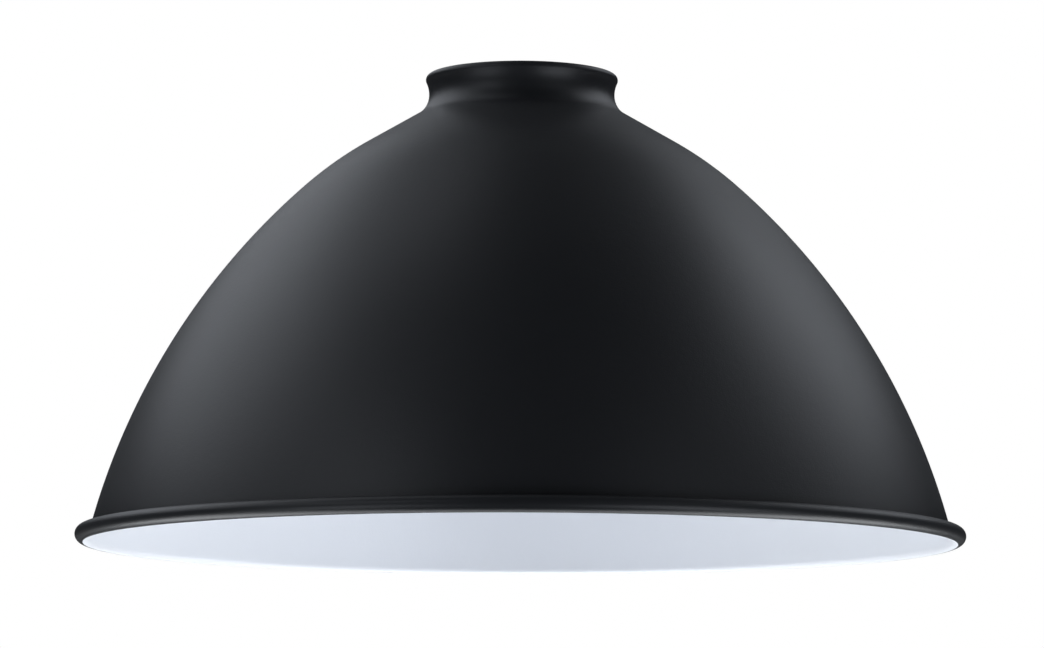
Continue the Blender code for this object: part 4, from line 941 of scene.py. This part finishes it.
GLASS_WALL = 0.0008
GLOBE_RADIUS = 0.0225
GLOBE_JOIN = np.radians(52)
FLARE_LAG = 0.3
CEMENT_GAP = 0.0006
envelope_low, envelope_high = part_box("bulb_glass")
neck_radius = THREAD_MIDDLE - LAMP_DEPTH / 2 - CAP_SHEET - CEMENT_GAP
globe_centre = envelope_low[2] + GLOBE_RADIUS
globe_top = globe_centre + GLOBE_RADIUS * np.sin(GLOBE_JOIN)
flare_share = np.linspace(0, 1, 26)[:-1]
flare_ease = flare_share**2 * (3 - 2 * flare_share) * (1 - FLARE_LAG * (1 - flare_share))
outer_glass = np.concatenate([
    [(neck_radius, envelope_high[2] - 0.0003)],
    np.stack([
        neck_radius + (GLOBE_RADIUS * np.cos(GLOBE_JOIN) - neck_radius) * flare_ease,
        alu_low[2] + (globe_top - alu_low[2]) * flare_share,
    ], -1),
    arc((0.0, globe_centre), GLOBE_RADIUS, GLOBE_JOIN, -np.pi / 2, 60),
])
outer_glass[-1] = (0.0, envelope_low[2])
slope_along = np.gradient(outer_glass, axis=0)
slope_along /= np.linalg.norm(slope_along, axis=1)[:, None]
inner_glass = outer_glass + GLASS_WALL * np.stack([slope_along[:, 1], -slope_along[:, 0]], -1)
inner_glass[-1] = (0.0, envelope_low[2] + GLASS_WALL)
glass_profile = np.concatenate([
    outer_glass[::-1], [(neck_radius - GLASS_WALL / 2, envelope_high[2])], inner_glass,
])
clear_glass = Finish(
    "clear glass", (1.0, 1.0, 1.0), 0.0, fixed={"Transmission Weight": 1.0, "IOR": 1.47}
)
streak = clear_glass.noise(35, 2, 0.5)
clear_glass.set("Base Color", streak.mix((0.985, 0.995, 0.992, 1), (1.0, 1.0, 1.0, 1)))
clear_glass.bump(streak, 0.00010, 0.4)
glass_points = turned(glass_profile, 160)
surface("globe_envelope", glass_points, "bulb", clear_glass, "clear_glass", "bulb_glass")

# --------
# Glass mount. A drawn glass tube: flared at the top where it is sealed to the neck, pinched flat
# round the lead wires, and drawn down to a rod that the filaments stand round.

STEM_RADIUS = 0.0030
STEM_LENGTH = 0.0210
ROD_RADIUS = 0.0011
stem_low, stem_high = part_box("bulb_stem")
stem_tip = stem_high[2] - STEM_LENGTH
stem_profile = rounded(
    [
        (0, stem_high[2] - ROD_RADIUS), (stem_high[0] - ROD_RADIUS / 2, stem_high[2]),
        (stem_high[0], stem_high[2]),
        (stem_high[0], stem_high[2] - ROD_RADIUS), (STEM_RADIUS + 0.0020, stem_high[2] - 0.0035),
        (STEM_RADIUS, stem_high[2] - 0.0070), (STEM_RADIUS, stem_tip + 0.0020), (ROD_RADIUS, stem_tip),
        (ROD_RADIUS, stem_low[2]), (0, stem_low[2]),
    ],
    [0.0001, 0.0002, 0.0001, 0.0003, 0.0030, 0.0040, 0.0020, 0.0020, 0.0009, 0.0001], False, 8,
)
stem_points = turned(stem_profile, 96)
press = np.clip((stem_high[2] - 0.0090 - stem_points[..., 2]) / 0.0040, 0, 1)
press = press * np.clip((stem_points[..., 2] - stem_tip) / 0.0020, 0, 1)
stem_points[..., 0] *= 1 - 0.45 * press
stem_glass = Finish("stem glass", (0.97, 0.98, 0.98), 0.03, fixed={"Transmission Weight": 1.0, "IOR": 1.5})
drawn = stem_glass.noise(160, 3, 0.6)
stem_glass.set("Roughness", 0.01 + drawn * 0.07)
stem_glass.bump(drawn, 0.00008, 0.5)
surface("drawn_glass_mount", stem_points, "bulb", stem_glass, "clear_glass", "bulb_stem")

# --------
# Filaments. Four sticks of tiny diodes under yellow phosphor gel, with a bare metal tab at each end,
# welded to two bent nickel leads above and to one bent wire below.


def tube(path, radii, columns=20):
    """A round bar along a path: rings of the given radii, square to the path's direction."""
    along = np.gradient(path, axis=0)
    along /= np.linalg.norm(along, axis=1)[:, None]
    side = np.cross(along, (0.62, -0.49, 0.61))
    side /= np.linalg.norm(side, axis=1)[:, None]
    other = np.cross(along, side)
    turn = np.linspace(0, 2 * np.pi, columns, endpoint=False)[:, None]
    ring = np.cos(turn) * side[:, None] + np.sin(turn) * other[:, None]
    return path[:, None] + ring * np.broadcast_to(radii, len(path))[:, None, None]


def wire(name, corners, radius, fillet, finish, node):
    """A tube through corners with arcs at its bends and its two ends cut square."""
    path = rounded(corners, fillet, False, 8)
    ends = path[[0, -1]]
    path = np.concatenate([ends[:1], ends[:1] + (path[1] - ends[0]) * 1e-3, path[1:-1],
                           ends[1:] + (path[-2] - ends[1]) * 1e-3, ends[1:]])
    radii = np.full(len(path), radius)
    radii[[0, -1]] = 0
    surface(name, tube(path, radii, 14), "bulb", finish, "nickel_wire", node)


FILAMENT_COUNT = 4
FILAMENT_RADIUS = 0.00085
TAB_RADIUS = 0.0004
TAB_LENGTH = 0.0011
LEAD_RADIUS = 0.00035
TOP_CIRCLE, FOOT_CIRCLE = 0.0045, 0.0100
FILAMENT_DROP = 0.0200
TOPS_BELOW_TIP = 0.0030
LEAD_ABOVE_TIP = 0.0060
LEAD_BEND = 0.0012
filament_turn = 2 * np.pi * (np.arange(FILAMENT_COUNT) + 0.5) / FILAMENT_COUNT
around = np.stack([np.cos(filament_turn), np.sin(filament_turn), 0 * filament_turn], -1)
filament_tops = TOP_CIRCLE * around + (0, 0, stem_tip - TOPS_BELOW_TIP)
filament_feet = FOOT_CIRCLE * around + (0, 0, stem_tip - TOPS_BELOW_TIP - FILAMENT_DROP)
phosphor = Finish("phosphor gel", (0.80, 0.52, 0.06), 0.45, fixed={"Subsurface Weight": 0.15})
on_tab = (phosphor.attribute("tab") - 0.5) * 4 + 0.5
on_tab = on_tab.clamped()
gel = phosphor.noise(900, 3, 0.5)
beads = phosphor.cells(1500)
gel_colour = gel.mix((0.86, 0.60, 0.10, 1), (0.72, 0.42, 0.03, 1))
phosphor.set("Base Color", on_tab.mix(gel_colour, (0.60, 0.58, 0.54, 1)))
phosphor.set("Metallic", on_tab)
phosphor.set("Roughness", 0.35 + gel * 0.25)
phosphor.bump(beads + gel, 0.00006, 0.6)
for number in range(FILAMENT_COUNT):
    lean = filament_feet[number] - filament_tops[number]
    lean /= np.linalg.norm(lean)
    upper, lower = filament_tops[number] + 2 * GAP * lean, filament_feet[number] - 2 * GAP * lean
    length = np.linalg.norm(lower - upper)
    nose = FILAMENT_RADIUS * (1 - np.cos(np.linspace(0, np.pi / 2, 7)))
    swell = TAB_RADIUS + (FILAMENT_RADIUS - TAB_RADIUS) * np.sin(np.linspace(0, np.pi / 2, 7))
    reach = np.concatenate([[0, 1e-6, TAB_LENGTH - 1e-6], TAB_LENGTH + nose])
    width = np.concatenate([[0, TAB_RADIUS, TAB_RADIUS], swell])
    reach = np.concatenate([reach, (length - reach)[::-1]])
    width = np.concatenate([width, width[::-1]])
    bar = tube(upper + reach[:, None] * lean, width, 24)
    stick = surface(
        f"led_filament_{number + 1}", bar, "bulb", phosphor, "phosphor", f"filament_{number + 1}"
    )
    seat = np.empty(len(stick.data.vertices) * 3, np.float32)
    stick.data.vertices.foreach_get("co", seat)
    past = (seat.reshape(-1, 3) - upper) @ lean
    bare = np.minimum(past, length - past) < TAB_LENGTH
    stick.data.attributes.new("tab", "FLOAT", "POINT").data.foreach_set("value", bare.astype(np.float32))

nickel = bright_metal("nickel wire", (0.60, 0.57, 0.52), 0.28, 3200)
join_gap = LEAD_RADIUS + GAP
beside = STEM_RADIUS + join_gap
for number, (first, second) in enumerate([(0, 1), (2, 3)]):
    tops = filament_tops[[first, second]] + (0, 0, join_gap)
    out = np.array([0, np.sign(tops[0, 1]) * beside, 0])
    lead = [out + (0, 0, stem_tip + LEAD_ABOVE_TIP), out + (0, 0, tops[0, 2] + LEAD_BEND), *tops]
    wire(f"bent_lead_{number + 1}", lead, LEAD_RADIUS, LEAD_BEND / 2, nickel, f"lead_wire_{number + 1}")
wire("filament_foot_wire", filament_feet - (0, 0, join_gap), LEAD_RADIUS, 0.0008, nickel, "filament_spider")

# --------
# The stage: a pale floor far below the hanging light, white all round, and large soft lights that
# stand behind it on both sides.

FLOOR_DROP = 1.50
FLOOR_REACH = 60.0
floor_height = shade_low[2] - FLOOR_DROP
floor_mesh = bpy.data.meshes.new("floor")
floor_mesh.from_pydata(
    [
        (-FLOOR_REACH, -FLOOR_REACH, floor_height), (FLOOR_REACH, -FLOOR_REACH, floor_height),
        (FLOOR_REACH, FLOOR_REACH, floor_height), (-FLOOR_REACH, FLOOR_REACH, floor_height),
    ], [], [(0, 1, 2, 3)]
)
floor = bpy.data.objects.new("floor", floor_mesh)
bpy.context.scene.collection.objects.link(floor)
FLOOR_GLOW = {"Emission Color": (0.98, 0.99, 1.0, 1.0), "Emission Strength": 0.86}
paper = Finish("floor paint", (0.70, 0.70, 0.71), 0.75, fixed=FLOOR_GLOW)
floor_mesh.materials.append(paper.material)
floor.visible_diffuse = False
floor.visible_glossy = False


def softbox(name, place, aim, size, power, colour=(1.0, 1.0, 1.0)):
    """A soft light with a flat face of the given size, turned to the point it lights."""
    light = bpy.data.lights.new(name, "AREA")
    light.shape = "RECTANGLE"
    light.size, light.size_y = size
    light.energy = power
    light.color = colour
    lamp = bpy.data.objects.new(name, light)
    lamp.location = place
    lamp.rotation_euler = (Vector(aim) - Vector(place)).to_track_quat("-Z", "Y").to_euler()
    bpy.context.scene.collection.objects.link(lamp)
    lamp.visible_camera = False


LIGHT_DISTANCE = 1.90
LIGHT_SIZE = 1.00
COOL_WHITE = (0.88, 0.925, 1.0)
middle = Vector((0.0, 0.0, (shade_low[2] + shade_high[2]) / 2))
# degrees behind the object's sides, degrees above the horizon, and the powers on its right and left in watts
SOFTBOXES = [
    (60, 35, 1.7, 3.4), (30, 35, 6.5, 5.7), (0, 35, 2.1, 4.2), (30, 65, 0.6, 2.1), (0, 65, 0.0, 1.5),
    (-45, 25, 1.7, 5.1), (-45, -25, 13.5, 9.0),
]
for behind, above, *powers in SOFTBOXES:
    for side, power in zip((1, -1), powers):
        turn, lift = np.radians(behind), np.radians(above)
        toward = Vector((side * np.cos(lift) * np.cos(turn), np.cos(lift) * np.sin(turn), np.sin(lift)))
        face = (LIGHT_SIZE, LIGHT_SIZE)
        softbox("softbox", middle + LIGHT_DISTANCE * toward, middle, face, power, COOL_WHITE)
BOUNCE_SIZE = (1.4, 1.4)
BOUNCE_WHITE = (0.94, 0.97, 1.0)
for name, side, behind, power in [
    ("left_bounce", -1.25, 0.60, 46), ("right_bounce", 1.25, 0.60, 44), ("floor_bounce", 0.0, 0.70, 15),
]:
    softbox(name, (side, behind, floor_height + 0.02), middle, BOUNCE_SIZE, power, BOUNCE_WHITE)

world = bpy.data.worlds.new("white room")
bpy.context.scene.world = world
world.use_nodes = True
room = Signal(world.node_tree)
seen = room.node("ShaderNodeLightPath", output="Is Camera Ray")
ROOM_LIGHT = 0.01
backdrop = world.node_tree.nodes["Background"]
world.node_tree.links.new((seen * (1 - ROOM_LIGHT) + ROOM_LIGHT).socket, backdrop.inputs["Strength"])
backdrop.inputs["Color"].default_value = (1.0, 1.0, 1.0, 1.0)

CAMERA_DISTANCE = 1.460
CAMERA_BELOW_RIM = 0.1053
CAMERA_TILT = np.radians(90 + 6.576)
CAMERA_ROLL = np.radians(0.194)
camera_data = bpy.data.cameras.new("camera")
camera_data.sensor_width = 36.0
camera_data.lens = 172.32
camera_data.shift_x = 0.0009
camera_data.clip_start = 0.05
camera = bpy.data.objects.new("camera", camera_data)
rim_height = shade_low[2] + CURL_RADIUS
camera.matrix_world = (
    Matrix.Translation((0, -CAMERA_DISTANCE, rim_height - CAMERA_BELOW_RIM))
    @ Matrix.Rotation(CAMERA_TILT, 4, "X") @ Matrix.Rotation(CAMERA_ROLL, 4, "Z")
)
bpy.context.scene.collection.objects.link(camera)
bpy.context.scene.camera = camera
bpy.context.scene.view_settings.view_transform = "Standard"
